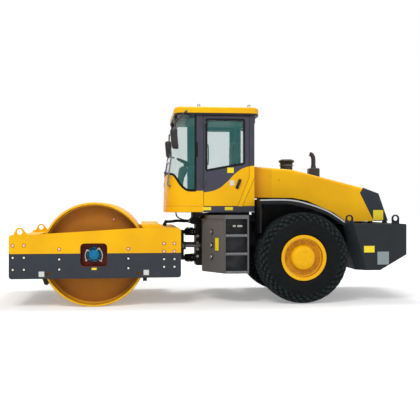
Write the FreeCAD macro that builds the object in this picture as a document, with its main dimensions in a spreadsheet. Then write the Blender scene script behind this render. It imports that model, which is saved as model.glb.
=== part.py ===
import FreeCAD, Part
import math
import os

import Sketcher

# Single drum vibratory roller with a cab, steered at a centre joint, in millimetres.
# It drives towards -X, +Z is up, and its left side is at -Y.
# Lengths along X are measured from the drum's axle, and each piece is then moved by
# ORIGIN_SHIFT, so that the origin is on the ground below the middle of the machine.

V = FreeCAD.Vector
LEFT, RIGHT = -1, 1
ACROSS = {"side": "XZ_Plane", "front": "YZ_Plane", "top": "XY_Plane"}

# Driving dimensions: alias, value, what it measures.
DIMENSIONS = [
    ("drumDiameter", 1600, "over the drum's shell"),
    ("drumWidth", 2130, "length of the drum's shell"),
    ("drumWall", 32, "thickness of the drum's shell"),
    ("drumBevel", 10, "bevel at the drum's ends"),
    ("discRecess", 190, "how deep the drum's discs sit inside its ends"),
    ("discWall", 25, "thickness of the drum's discs"),
    ("drumHubDiameter", 300, "bearing hub on a drum disc"),
    ("drumHubLength", 60, "how far the hub stands out of its disc"),
    ("frameWidth", 2300, "over the side plates of the front frame"),
    ("frontReach", 1260, "drum axle to the front of the machine"),
    ("plateReach", 1325, "drum axle to the rear end of a side plate"),
    ("plateWall", 30, "thickness of a side plate"),
    ("plateLow", 445, "ground to the lower edge of a side plate"),
    ("plateTop", 1205, "ground to the upper edge of a side plate"),
    ("plateNose", 1109, "ground to the side plate's upper edge at its front"),
    ("plateCorner", 45, "corner radius of a side plate"),
    ("lugSetback", 161, "front of the machine to the tie-down hole"),
    ("lugHeight", 1155, "ground to the tie-down hole"),
    ("lugRadius", 66, "round end of the tie-down lug"),
    ("lugHole", 80, "tie-down hole"),
    ("windowWidth", 404, "motor window in a side plate, along the machine"),
    ("windowDepth", 352, "motor window in a side plate, upwards"),
    ("windowCorner", 60, "corner radius of the motor window"),
    ("plateHole", 50, "small hole near the lower edge of a side plate"),
    ("plateHoleReach", 680, "drum axle to a small hole"),
    ("plateHoleRise", 75, "lower edge of the side plate to a small hole"),
    ("beamSetback", 20, "front of the machine to the front crossbeam"),
    ("beamDepth", 220, "front crossbeam along the machine"),
    ("beamWall", 35, "gap from a crossbeam to the edges of the side plates"),
    ("drumClearance", 45, "gap from the drum to a crossbeam"),
    ("beamRise", 57, "rear crossbeam above the side plates"),
    ("scraperWall", 22, "thickness of a scraper blade"),
    ("scraperGap", 8, "gap from a scraper to the drum"),
    ("scraperDepth", 93, "height of a scraper blade"),
    ("scraperLength", 62, "scraper blade along the machine"),
    ("scraperRear", 23.3, "rear blade's tip below the drum's axle in degrees"),
    ("scraperFront", 32, "front blade's tip below the drum's axle in degrees"),
    ("carrierSize", 680, "square carrier plate of the drum"),
    ("carrierWall", 26, "thickness of the carrier plate"),
    ("carrierCorner", 110, "corner radius of the carrier plate"),
    ("bufferDiameter", 120, "rubber buffer of the drum's carrier"),
    ("bufferCircle", 580, "circle of the rubber buffers"),
    ("motorDiameter", 156, "cap of the drum's motor"),
    ("motorLength", 88, "length of the drum's motor outside its carrier"),
    ("motorFlange", 236, "flange of the drum's motor"),
    ("flangeWall", 24, "thickness of the motor's flange"),
    ("pivotReach", 1540, "drum axle to the steering pivot"),
    ("yokePlateReach", 1391, "drum axle to the front of the yoke's plate"),
    ("yokePlateWall", 40, "thickness of the yoke's plate"),
    ("yokeHalfWidth", 200, "half the width of the yoke's plate"),
    ("yokeLow", 637, "ground to the lower edge of the yoke's plate"),
    ("yokeTop", 1134, "ground to the upper edge of the yoke's plate"),
    ("bearingDiameter", 260, "bearing that the front frame swings on"),
    ("frameGap", 0.5, "gap of the bearing between yoke and front frame"),
    ("earRadius", 85, "round end of a steering ear"),
    ("earWall", 56, "thickness of a yoke ear"),
    ("upperEar", 1103, "ground to the middle of the upper ear"),
    ("lowerEar", 667, "ground to the middle of the lower ear"),
    ("pinDiameter", 80, "steering pin"),
    ("pinGap", 1, "gap around pins and between ears"),
    ("cheekWall", 28, "thickness of a rear frame ear"),
    ("rodPinReach", 1410, "drum axle to the steering rod's eye"),
    ("rodPinSpread", 312, "middle of the machine to the steering rod's eye"),
    ("cylinderHeight", 885, "ground to the steering cylinders"),
    ("anchorReach", 2150, "drum axle to the steering cylinder's anchor"),
    ("anchorSpread", 322, "middle of the machine to the cylinder's anchor"),
    ("rodDiameter", 60, "steering rod"),
    ("rodLength", 495, "steering rod from its eye's centre"),
    ("barrelDiameter", 104, "steering cylinder's barrel"),
    ("barrelBore", 62, "bore of the steering cylinder's barrel"),
    ("barrelLength", 460, "steering barrel from its eye's centre"),
    ("eyeDiameter", 92, "eye of a steering cylinder"),
    ("eyeWall", 68, "height of a steering cylinder's eye"),
    ("eyePin", 46, "pin of a steering cylinder"),
    ("neckReach", 1632, "drum axle to the front of the rear frame"),
    ("neckHalfWidth", 190, "half the width of the rear frame's neck"),
    ("neckLow", 549, "ground to the underside of the neck"),
    ("neckTop", 1346, "ground to the top of the neck"),
    ("neckLength", 640, "length of the neck"),
    ("headReach", 85, "how far the neck's head stands out over the joint"),
    ("headDepth", 110, "height of the neck's head"),
    ("headBevel", 30, "bevel of the neck's head"),
    ("glandReach", 1150, "drum axle to the face of the hose's gland"),
    ("glandLength", 64, "hose's gland along the machine"),
    ("glandWidth", 90, "hose's gland across the machine"),
    ("glandHeight", 97, "hose's gland above the crossbeam"),
    ("jointHose", 48, "hose over the centre joint"),
    ("cabHose", 22, "hose from the cab to the neck"),
    ("chassisHalfWidth", 430, "half the width of the chassis"),
    ("chassisLow", 890, "ground to the underside of the chassis"),
    ("chassisTop", 1300, "ground to the top of the chassis"),
    ("chassisWall", 60, "thickness of a chassis beam"),
    ("wheelbase", 3260, "drum axle to the rear axle"),
    ("rearOverhang", 1710, "rear axle to the rear end"),
    ("tyreDiameter", 1450, "over the rear tyres"),
    ("tyreWidth", 520, "width of a rear tyre"),
    ("tyreShoulder", 60, "rounding of a tyre's shoulder"),
    ("trackOver", 2290, "over the outer faces of the rear tyres"),
    ("rimDiameter", 640, "bead seat of a rear rim"),
    ("flangeDiameter", 718, "flange of a rear rim"),
    ("rimWall", 14, "thickness of a rim"),
    ("rimRecess", 84, "outer flange of the rim to its disc"),
    ("hubDiameter", 413, "dome of the wheel hub"),
    ("hubRise", 92, "how far the hub stands out of the rim's disc"),
    ("axleDiameter", 230, "axle tube"),
    ("diffDiameter", 460, "bulge in the middle of the rear axle"),
    ("weightTop", 1253, "ground to the top of the counterweight"),
    ("weightHalfWidth", 1050, "half the width of the counterweight"),
    ("weightTopLength", 1025, "top of the counterweight along the machine"),
    ("weightLow", 513, "ground to the underside of the counterweight"),
    ("weightKnee", 768, "ground to the counterweight's rear knee"),
    ("weightToe", 448, "how far the counterweight draws in below its knee"),
    ("weightSlant", 209, "how far its front edge leans back going down"),
    ("weightChamfer", 136, "bevel beside the tyres"),
    ("weightEdge", 40, "rounding of the counterweight"),
    ("loopHeight", 147, "lifting loop above the counterweight"),
    ("loopLength", 122, "lifting loop along the machine"),
    ("loopWall", 30, "thickness of a lifting loop"),
    ("loopHole", 76, "hole of a lifting loop"),
    ("loopInset", 90, "side of the counterweight to a lifting loop"),
    ("fenderTop", 1646, "ground to the top of a fender"),
    ("fenderHalfWidth", 1110, "middle of the machine to a fender's edge"),
    ("fenderWall", 26, "thickness of a fender"),
    ("fenderLip", 75, "height of a fender's outer lip"),
    ("fenderFront", 700, "rear axle to the front end of a fender"),
    ("fenderRear", 660, "rear axle to the rear end of a fender"),
    ("fenderDrop", 348, "fender's rear end below its top"),
    ("fenderFoot", 1120, "ground to the lower edge of a fender's front plate"),
    ("stepOuter", 1120, "middle of the machine to the outside of the steps"),
    ("boxFront", 1700, "drum axle to the front of a side box"),
    ("boxCorner", 2020, "drum axle to the side box's outer corner"),
    ("boxNose", 640, "half the width over the side boxes at their front"),
    ("boxLow", 490, "ground to the underside of a side box"),
    ("boxTop", 1340, "ground to the top of a side box"),
    ("deckWall", 58, "thickness of the deck on a side box"),
    ("coverWall", 12, "thickness of a side box's cover"),
    ("coverPost", 38, "post between a side box's cover and its steps"),
    ("coverDrop", 36, "top of a side box to its cover"),
    ("coverEdge", 1041, "ground to the cover's upper edge at its front"),
    ("coverShoulder", 1114, "ground to the cover's shoulder"),
    ("coverNotch", 153, "front of the cover to its shoulder"),
    ("stepLength", 342, "length of a step"),
    ("stepDepth", 190, "depth of a step"),
    ("stepWall", 34, "thickness of a step"),
    ("stepRise", 285, "rise from step to step"),
    ("railWall", 24, "side wall beside the steps"),
    ("cabFront", 1112, "drum axle to the cab's front below its window"),
    ("cabRear", 2524, "drum axle to the cab's rear wall"),
    ("cabHalfWidth", 820, "half the width of the cab"),
    ("cabLow", 1440, "ground to the underside of the cab"),
    ("sillTop", 1542, "ground to the cab's door sill"),
    ("screenFoot", 2072, "ground to the windscreen's lower edge at the front"),
    ("screenDip", 1784, "ground to the windscreen's lower edge at the sides"),
    ("screenLean", 215, "how far the windscreen leans back to the roof"),
    ("cabCorner", 300, "radius of the cab's front corners"),
    ("cabTop", 2985, "ground to the underside of the roof"),
    ("cabWall", 46, "thickness of the cab's walls and doors"),
    ("glassWall", 8, "thickness of the panes"),
    ("postFront", 1585, "drum axle to the front of the door post"),
    ("postLength", 118, "length of the door post"),
    ("doorGap", 6, "gap around a door"),
    ("doorRear", 2437, "drum axle to a door's rear edge"),
    ("doorCut", 460, "height of a door's slanted rear corner"),
    ("doorCutReach", 185, "length of a door's slanted rear corner"),
    ("panelLength", 194, "lower edge of a corner panel"),
    ("panelHeight", 456, "rear edge of a corner panel"),
    ("doorFrame", 74, "width of a door's window frame"),
    ("doorPaneLow", 2099, "ground to a door's window at its front"),
    ("doorPaneRise", 114, "rise of a door's window to its rear"),
    ("roofFront", 1243, "drum axle to the front of the roof"),
    ("roofRear", 2606, "drum axle to the rear of the roof"),
    ("roofHalfWidth", 850, "half the width of the roof"),
    ("roofHeight", 135, "height of the roof"),
    ("roofCorner", 160, "corner radius of the roof"),
    ("roofEdge", 38, "rounding of the roof's upper edge"),
    ("eyeletHeight", 61, "lifting eyelet above the roof"),
    ("mountDiameter", 110, "rubber mount of the cab"),
    ("mountHeight", 40, "height of the cab's rear mounts"),
    ("cabBeamLength", 110, "beam below the cab's rear, along the machine"),
    ("cabBeamHalfWidth", 690, "half the width of the beam below the cab's rear"),
    ("seatReach", 2110, "drum axle to the middle of the seat"),
    ("seatHeight", 1960, "ground to the top of the seat's base"),
    ("cushionLength", 480, "seat cushion along the machine"),
    ("cushionWidth", 500, "seat cushion across the machine"),
    ("cushionHeight", 110, "thickness of the seat's cushions"),
    ("cushionGap", 10, "gap between the seat's cushion and its back"),
    ("backHeight", 640, "height of the seat's back"),
    ("consoleReach", 1500, "drum axle to the steering column's foot"),
    ("columnHeight", 720, "length of the steering column"),
    ("columnTilt", 25, "lean of the steering column in degrees"),
    ("wheelDiameter", 390, "steering wheel"),
    ("wheelTube", 30, "thickness of the steering wheel's ring"),
    ("hoodFront", 2560, "drum axle to the front of the hood"),
    ("hoodHalfWidth", 620, "half the width of the hood"),
    ("hoodTop", 2187, "ground to the hood's top at its front"),
    ("hoodBendReach", 3198, "drum axle to the bend in the hood's top"),
    ("hoodBend", 2137, "ground to the bend in the hood's top"),
    ("hoodEnd", 1842, "ground to the hood's top at its grille"),
    ("hoodLow", 1680, "ground to the hood's lower edge at its front"),
    ("hoodArch", 420, "hood's lower edge drops to its rear by this much"),
    ("hoodArchReach", 823, "rear axle to the rear end of the hood's arch"),
    ("hoodWall", 36, "thickness of the hood"),
    ("hoodEdge", 50, "rounding of the hood's upper edges"),
    ("grilleSetback", 585, "rear end to the grille's upper front corner"),
    ("grilleKneeReach", 323, "rear end to the grille's knee"),
    ("grilleKnee", 1748, "ground to the grille's knee"),
    ("grilleTailReach", 161, "rear end to the grille's lower rear corner"),
    ("grilleLow", 1290, "ground to the grille's lower edge"),
    ("grilleFootReach", 407, "rear end to the grille's lower front corner"),
    ("grilleApexDrop", 84, "grille's front apex below its upper corner"),
    ("grilleApexReach", 58, "grille's front apex ahead of its upper corner"),
    ("louvreWall", 12, "thickness of a grille louvre"),
    ("louvrePitch", 46, "distance from louvre to louvre"),
    ("grilleFrame", 58, "frame around the grille's opening"),
    ("cleanerReach", 3222, "drum axle to the air cleaner"),
    ("cleanerDiameter", 236, "bowl of the air cleaner"),
    ("cleanerTop", 2345, "ground to the top of the air cleaner"),
    ("stackReach", 3700, "drum axle to the exhaust"),
    ("stackTop", 2479, "ground to the top of the exhaust"),
    ("stackShoulder", 2198, "ground to the top of the exhaust's base"),
    ("stackBaseHeight", 326, "height of the exhaust's base"),
    ("stackDiameter", 76, "exhaust pipe"),
    ("stackBase", 196, "length of the exhaust's base"),
    ("engineLength", 1150, "engine along the machine"),
    ("engineWidth", 640, "engine across the machine"),
    ("engineHeight", 520, "height of the engine"),
    ("engineFront", 2760, "drum axle to the front of the engine"),
    ("mirrorReach", 1241, "drum axle to a mirror"),
    ("mirrorSpread", 1050, "middle of the machine to a mirror"),
    ("mirrorHeight", 2580, "ground to the middle of a mirror"),
    ("mirrorLength", 300, "height of a mirror's head"),
    ("mirrorWidth", 190, "width of a mirror's head"),
    ("mirrorDepth", 62, "depth of a mirror's head"),
    ("tubeRadius", 13, "radius of handrails and mirror arms"),
    ("lampWidth", 150, "width of a work lamp"),
    ("lampHeight", 90, "height of a work lamp"),
    ("lampDepth", 48, "depth of a work lamp"),
    ("lampSpread", 520, "middle of the machine to a work lamp"),
    ("hingeRadius", 14, "knuckle of a door hinge"),
    ("hingeLength", 46, "length of a hinge knuckle"),
    ("hingeLeaf", 7, "thickness of a hinge leaf"),
    ("hingeLow", 1850, "ground to the lower door hinge"),
    ("hingeHigh", 2800, "ground to the upper door hinge"),
    ("hoodHingeSetback", 126, "rear end to the hood's hinge"),
    ("hoodHingeHeight", 1306, "ground to the hood's hinge"),
    ("hoodHingeSpread", 320, "middle of the machine to a hood hinge"),
    ("hoodHingePin", 15, "radius of the hood's hinge pins"),
    ("hoodHingeWall", 30, "thickness of a hood hinge lug"),
    ("handleInset", 123, "side of the cab to a grab handle"),
    ("handleLow", 210, "windscreen's lower edge to a grab handle's foot"),
    ("handleHigh", 243, "windscreen's lower edge to a grab handle's top"),
    ("handleStand", 62, "how far a grab handle stands out"),
    ("seatGap", 0.3, "gap of a piece at rest on another body"),
]

doc = FreeCAD.newDocument("Roller")
sheet = doc.addObject("Spreadsheet::Sheet", "Sizes")


# Sizes that stay bound to the sheet

class Size:
    """A length with its value in numbers and as a formula of the sheet's cells."""

    def __init__(self, value, text):
        self.value = value
        self.text = text

    def __neg__(self):
        return Size(-self.value, f"(-1 * {self.text})")

    def __add__(self, other):
        other = as_size(other)
        return Size(self.value + other.value, f"({self.text} + {other.text})")

    def __sub__(self, other):
        other = as_size(other)
        return Size(self.value - other.value, f"({self.text} - {other.text})")

    def __mul__(self, other):
        other = as_size(other)
        return Size(self.value * other.value, f"({self.text} * {other.text})")

    def __truediv__(self, other):
        other = as_size(other)
        return Size(self.value / other.value, f"({self.text} / {other.text})")

    def __radd__(self, other):
        return as_size(other) + self

    def __rsub__(self, other):
        return as_size(other) - self

    def __rmul__(self, other):
        return as_size(other) * self


def as_size(number):
    if isinstance(number, Size):
        return number
    return Size(float(number), repr(float(number)))


def fill_sheet():
    """Write the dimensions to the sheet and return them by name."""
    named = {}
    for row, (alias, value, meaning) in enumerate(DIMENSIONS, start=1):
        sheet.set(f"A{row}", meaning)
        sheet.set(f"B{row}", str(value))
        sheet.setAlias(f"B{row}", alias)
        named[alias] = Size(float(value), f"Sizes.{alias}")
    doc.recompute()
    return named


class Named:
    """The sheet's cells as attributes."""

    def __init__(self, cells):
        self.__dict__.update(cells)


D = Named(fill_sheet())
REAR_END = D.wheelbase + D.rearOverhang
ORIGIN_SHIFT = (REAR_END - D.frontReach) / 2
DRUM_AXLE = D.drumDiameter / 2
REAR_AXLE = D.tyreDiameter / 2
PLATE_FACE = D.frameWidth / 2
PLATE_INSIDE = PLATE_FACE - D.plateWall
CAB_FLOOR = D.sillTop - D.cabWall
ZERO = as_size(0)
TILT = math.radians(D.columnTilt.value)

# Routes of the hoses over the centre joint, as along, across and up.
JOINT_HOSE = [(1151, 0, 1276), (1225, 0, 1276), (1330, 0, 1293), (1440, 0, 1284), (1547, 0, 1284)]
CAB_HOSE = [(1306, -60, 1440), (1306, -60, 1384), (1352, -60, 1336), (1452, -60, 1300),
            (1547, -60, 1300)]


# Helpers that make bound sketches and features

def new_body(name):
    body = doc.addObject("PartDesign::Body", name)
    body.Label = name
    body.AllowCompound = True
    return body


def place(piece, along=ZERO, across=ZERO, up=ZERO, axis=None, turn=0):
    """Put a piece at its place, bound to the sheet, moved to the common origin."""
    if axis is not None:
        piece.Placement = FreeCAD.Placement(V(0, 0, 0), FreeCAD.Rotation(V(*axis), turn))
    piece.setExpression("Placement.Base.x", (along - ORIGIN_SHIFT).text)
    piece.setExpression("Placement.Base.y", across.text)
    piece.setExpression("Placement.Base.z", up.text)
    return piece


def new_sketch(body, view, start):
    """An empty sketch on one of the body's planes, moved along its normal."""
    role = ACROSS[view]
    plane = [item for item in body.Origin.OriginFeatures if item.Role == role][0]
    sketch = body.newObject("Sketcher::SketchObject", f"{body.Name}_sketch")
    sketch.AttachmentSupport = [(plane, "")]
    sketch.MapMode = "FlatFace"
    if view == "side":
        start = -start
    sketch.setExpression(".AttachmentOffset.Base.z", start.text)
    return sketch


def pin_point(sketch, index, end, across, up):
    """Fix one point of a sketch element at a bound place."""
    for kind, length in (("DistanceX", across), ("DistanceY", up)):
        number = sketch.addConstraint(
            Sketcher.Constraint(kind, -1, 1, index, end, length.value))
        sketch.setExpression(f"Constraints[{number}]", length.text)


def draw_outline(sketch, outline):
    """A closed outline of straight sides through bound points."""
    outline = [(as_size(across), as_size(up)) for across, up in outline]
    first = sketch.GeometryCount
    count = len(outline)
    for index, (across, up) in enumerate(outline):
        next_across, next_up = outline[(index + 1) % count]
        sketch.addGeometry(Part.LineSegment(
            V(across.value, up.value, 0), V(next_across.value, next_up.value, 0)), False)
    for index in range(count):
        sketch.addConstraint(Sketcher.Constraint(
            "Coincident", first + index, 2, first + (index + 1) % count, 1))
    for index, (across, up) in enumerate(outline):
        pin_point(sketch, first + index, 1, across, up)


def draw_circle(sketch, across, up, radius):
    across, up, radius = as_size(across), as_size(up), as_size(radius)
    index = sketch.addGeometry(
        Part.Circle(V(across.value, up.value, 0), V(0, 0, 1), radius.value), False)
    pin_point(sketch, index, 3, across, up)
    number = sketch.addConstraint(Sketcher.Constraint("Radius", index, radius.value))
    sketch.setExpression(f"Constraints[{number}]", radius.text)


def prism(body, view, low, high, outline=None, circles=(), cut=False):
    """Add or cut a prism between two bound places along the view's direction."""
    low, high = as_size(low), as_size(high)
    start = high if view == "side" else low
    sketch = new_sketch(body, view, start)
    if outline:
        draw_outline(sketch, outline)
    for across, up, radius in circles:
        draw_circle(sketch, across, up, radius)
    kind = "PartDesign::Pocket" if cut else "PartDesign::Pad"
    feature = body.newObject(kind, f"{body.Name}_prism")
    feature.Profile = sketch
    feature.Reversed = cut
    feature.setExpression("Length", (high - low).text)
    return feature


def block(body, low, high, cut=False):
    """Add or cut a box between two bound corners."""
    outline = box_outline(low[0], low[1], high[0], high[1])
    return prism(body, "top", low[2], high[2], outline, cut=cut)


def box_outline(left, low, right, high):
    return [(left, low), (right, low), (right, high), (left, high)]


def turned(body, outline, view="front", axis="H_Axis", cut=False):
    """Turn an outline about a sketch axis: across the machine, or upright."""
    sketch = new_sketch(body, view, ZERO)
    draw_outline(sketch, outline)
    kind = "PartDesign::Groove" if cut else "PartDesign::Revolution"
    feature = body.newObject(kind, f"{body.Name}_turned")
    feature.Profile = sketch
    feature.ReferenceAxis = (sketch, [axis])
    feature.Angle = 360
    return feature


def soften(body, radius, wanted, kind="PartDesign::Fillet"):
    """Round or bevel the straight edges of the tip that a test picks."""
    doc.recompute()
    tip = body.Tip
    names = []
    for number, edge in enumerate(tip.Shape.Edges, start=1):
        if edge.Curve.TypeId == "Part::GeomLine" and wanted(edge):
            names.append(f"Edge{number}")
    feature = body.newObject(kind, f"{body.Name}_edge")
    feature.Base = (tip, names)
    feature.setExpression("Radius" if kind.endswith("Fillet") else "Size", radius.text)
    return feature


def runs_along(edge, axis):
    start, end = edge.Vertexes[0].Point, edge.Vertexes[-1].Point
    span = [abs(end[i] - start[i]) for i in range(3)]
    number = "xyz".index(axis)
    return span[number] > 1 and sum(span) - span[number] < 1e-6


def middle(edge):
    return edge.CenterOfMass


def mirrored(body):
    """Repeat the body's features on the other side of the machine."""
    doc.recompute()
    features = [item for item in body.Group if item.isDerivedFrom("PartDesign::Feature")]
    plane = [item for item in body.Origin.OriginFeatures if item.Role == "XZ_Plane"][0]
    feature = body.newObject("PartDesign::Mirrored", f"{body.Name}_mirrored")
    feature.Originals = features
    feature.MirrorPlane = (plane, [""])
    body.Tip = feature
    return feature


def other_side(source, name):
    """The same piece on the machine's right side."""
    twin = doc.addObject("Part::Mirroring", name)
    twin.Label = name
    twin.Source = source
    twin.Normal = V(0, 1, 0)
    return twin


def tube(name, points, radius, bend=None):
    """A round bar along straight runs joined by tangent arcs.

    Without a bend radius each arc is as large as its two runs allow.
    """
    points = [V(*[as_size(value).value for value in point]) for point in points]
    radius = as_size(radius).value
    edges = []
    start = points[0]
    for before, corner, after in zip(points, points[1:], points[2:]):
        to_before = (before - corner).normalize()
        to_after = (after - corner).normalize()
        half = to_before.getAngle(to_after) / 2
        if bend is None:
            reach = 0.45 * min((before - corner).Length, (after - corner).Length)
        else:
            reach = as_size(bend).value / math.tan(half)
        radius_here = reach * math.tan(half)
        first = corner + to_before * reach
        last = corner + to_after * reach
        bisector = (to_before + to_after).normalize()
        inner = corner + bisector * (radius_here / math.sin(half) - radius_here)
        edges.append(Part.LineSegment(start, first).toShape())
        edges.append(Part.Arc(first, inner, last).toShape())
        start = last
    edges.append(Part.LineSegment(start, points[-1]).toShape())
    path = Part.Wire(edges)
    ring = Part.Wire(Part.makeCircle(radius, points[0], points[1] - points[0]))
    piece = doc.addObject("Part::Feature", name)
    piece.Label = name
    piece.Shape = path.makePipeShell([ring], True, True)
    return piece


def joined(name, *pieces):
    fused = doc.addObject("Part::MultiFuse", name)
    fused.Label = name
    fused.Shapes = list(pieces)
    return fused


# Drum

def drum_shell():
    body = new_body("drum_shell")
    half, radius, bevel = D.drumWidth / 2, D.drumDiameter / 2, D.drumBevel
    bore = radius - D.drumWall
    turned(body, [(-half, bore), (half, bore), (half, radius - bevel), (half - bevel, radius),
                  (bevel - half, radius), (-half, radius - bevel)])
    return place(body, up=DRUM_AXLE)


def drum_discs():
    """Dished end discs with their bearing hubs, one at each end of the drum."""
    body = new_body("drum_discs")
    rim = D.drumDiameter / 2 - D.drumWall
    face = D.drumWidth / 2 - D.discRecess
    hub = D.drumHubDiameter / 2
    bearing = hub * 0.55
    turned(body, [(face - D.discWall, bearing), (face + D.drumHubLength, bearing),
                  (face + D.drumHubLength, hub), (face, hub), (face, rim),
                  (face - D.discWall, rim)])
    mirrored(body)
    return place(body, up=DRUM_AXLE)


# Front frame

def side_plate():
    body = new_body("side_plate_left")
    front, rear = -D.frontReach, D.plateReach
    lug_x = D.lugSetback - D.frontReach
    outline = [(front, D.plateLow), (rear, D.plateLow), (rear, D.plateTop),
               (D.plateReach / 2, D.plateTop), (front * 0.78, D.plateNose),
               (front, D.plateNose)]
    prism(body, "side", -PLATE_FACE, -PLATE_INSIDE, outline)
    soften(body, D.plateCorner, lambda edge: runs_along(edge, "y")
           and abs(middle(edge).x) > D.plateReach.value * 0.94)
    foot = D.lugRadius * 2.05
    prism(body, "side", -PLATE_FACE, -PLATE_INSIDE,
          [(lug_x - foot * 0.9, D.plateNose - D.lugRadius),
           (lug_x + foot, D.plateNose - D.lugRadius),
           (lug_x + foot * 0.88, D.plateNose),
           (lug_x + D.lugRadius * 0.75, D.lugHeight + D.lugRadius * 0.66),
           (lug_x - D.lugRadius * 0.75, D.lugHeight + D.lugRadius * 0.66),
           (lug_x - foot * 0.9, D.plateNose - D.lugRadius * 0.7)])
    prism(body, "side", -PLATE_FACE, -PLATE_INSIDE, circles=[(lug_x, D.lugHeight, D.lugRadius)])
    prism(body, "side", -PLATE_FACE, -PLATE_INSIDE, circles=[(lug_x, D.lugHeight, D.lugHole / 2)],
          cut=True)
    half_wide, half_deep = D.windowWidth / 2, D.windowDepth / 2
    prism(body, "side", -PLATE_FACE, -PLATE_INSIDE,
          box_outline(-half_wide, DRUM_AXLE - half_deep, half_wide, DRUM_AXLE + half_deep), cut=True)
    soften(body, D.windowCorner, lambda edge: runs_along(edge, "y")
           and abs(abs(middle(edge).x) - half_wide.value) < 1
           and abs(abs(middle(edge).z - DRUM_AXLE.value) - half_deep.value) < 1)
    hole_z = D.plateLow + D.plateHoleRise
    prism(body, "side", -PLATE_FACE, -PLATE_INSIDE,
          circles=[(-D.plateHoleReach, hole_z, D.plateHole / 2),
                   (D.plateHoleReach, hole_z, D.plateHole / 2)], cut=True)
    return place(body)


def crossbeams():
    """Box beams in front of and behind the drum, welded between the side plates."""
    body = new_body("frame_crossbeams")
    inside = PLATE_INSIDE
    front = D.beamSetback - D.frontReach
    low, top = D.plateLow + D.beamWall, D.plateNose - D.beamWall
    prism(body, "side", -inside, inside,
          [(front, low), (front + D.beamDepth * 0.7, low), (front + D.beamDepth, low + D.beamDepth),
           (front + D.beamDepth, top - D.beamDepth), (front + D.beamDepth * 1.2, top),
           (front, top)])
    near = D.drumDiameter / 2 + D.drumClearance
    rear = D.plateReach - D.beamWall
    crest = D.plateTop + D.beamRise
    prism(body, "side", -inside, inside,
          [(near * 0.84, crest), (near * 0.91, DRUM_AXLE + near * 0.45), (near, DRUM_AXLE + near * 0.22),
           (near * 1.02, DRUM_AXLE), (near * 1.08, D.plateLow + D.beamWall * 3),
           (rear, D.plateLow + D.beamWall * 3), (rear, D.plateTop),
           (rear * 0.822, D.plateTop), (rear * 0.78, crest)])
    return place(body)


def oscillation_bearing():
    """Round bearing housing on the rear crossbeam that the frame swings about."""
    body = new_body("oscillation_bearing")
    start = D.plateReach - D.beamWall
    end = D.yokePlateReach - D.frameGap
    prism(body, "front", start, end, circles=[(ZERO, D.cylinderHeight, D.bearingDiameter / 2)])
    return place(body)


def scraper_tip(side, degrees):
    """Point of a scraper that stands off the drum by its gap, below the axle."""
    angle = math.radians(degrees.value)
    reach = D.drumDiameter / 2 + D.scraperGap
    return reach * math.cos(angle) * side, DRUM_AXLE - reach * math.sin(angle)


def scrapers():
    """Blades that keep the drum clean, in front of it and behind it."""
    body = new_body("scrapers")
    half = D.drumWidth / 2 - D.drumBevel
    wall, deep, long = D.scraperWall, D.scraperDepth, D.scraperLength
    tip_x, tip_z = scraper_tip(1, D.scraperRear)
    beam = (D.drumDiameter / 2 + D.drumClearance) * 1.08
    low = D.plateLow + D.beamWall * 3
    prism(body, "side", -half, half,
          [(tip_x, tip_z), (tip_x, tip_z - deep), (tip_x + long, tip_z - deep),
           (tip_x + long, tip_z - deep * 0.4), (beam + wall * 3, low), (beam + wall, low)])
    tip_x, tip_z = scraper_tip(-1, D.scraperFront)
    beam = D.beamSetback - D.frontReach + D.beamDepth * 0.7
    low = D.plateLow + D.beamWall
    prism(body, "side", -half, half,
          [(tip_x, tip_z), (tip_x - long, tip_z + deep), (beam, low), (beam - wall * 3, low),
           (beam - wall * 3, low - wall), (tip_x - deep, tip_z + long), (tip_x - long, tip_z - wall),
           (tip_x - wall, tip_z - wall * 1.5)])
    return place(body)


def hose_gland():
    """Clamp on the rear crossbeam that the joint's hose comes out of."""
    body = new_body("hose_gland")
    low, top = D.plateTop, D.plateTop + D.glandHeight
    front, rear = D.glandReach - D.glandLength, D.glandReach
    prism(body, "side", -D.glandWidth / 2, D.glandWidth / 2,
          [(front, low), (rear, low), (rear, top), (rear - D.glandLength * 0.4, top),
           (front, low + D.glandHeight * 0.4)])
    return place(body)


def joint_hose():
    return place(tube("joint_hose", JOINT_HOSE, D.jointHose / 2))


def cab_hose():
    return place(tube("cab_hose", CAB_HOSE, D.cabHose / 2))


def drum_mounts():
    """Carrier plates on rubber buffers, between the drum's hubs and the side plates."""
    body = new_body("drum_mounts")
    half = D.carrierSize / 2
    hub_end = D.drumWidth / 2 - D.discRecess + D.drumHubLength
    inner = hub_end + D.seatGap
    outer = inner + D.carrierWall
    prism(body, "side", -outer, -inner, box_outline(-half, -half, half, half))
    soften(body, D.carrierCorner, lambda edge: runs_along(edge, "y"))
    ring = D.bufferCircle / 2
    places = []
    for number in range(8):
        angle = math.radians(22.5 + 45 * number)
        places.append((ring * math.cos(angle), ring * math.sin(angle), D.bufferDiameter / 2))
    prism(body, "side", -PLATE_INSIDE, -outer, circles=places)
    mirrored(body)
    return place(body, up=DRUM_AXLE)


def vibration_motors():
    """Round motors in the middle of the drum's carriers."""
    body = new_body("vibration_motors")
    start = D.drumWidth / 2 - D.discRecess + D.drumHubLength + D.seatGap + D.carrierWall
    flange, cap = D.motorFlange / 2, D.motorDiameter / 2
    neck = start + D.flangeWall
    end = neck + D.motorLength
    turned(body, [(start, ZERO), (start, flange), (neck, flange), (neck, cap),
                  (end - cap * 0.12, cap), (end, cap * 0.86), (end, ZERO)])
    mirrored(body)
    return place(body, up=DRUM_AXLE)


# Centre joint

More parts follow.
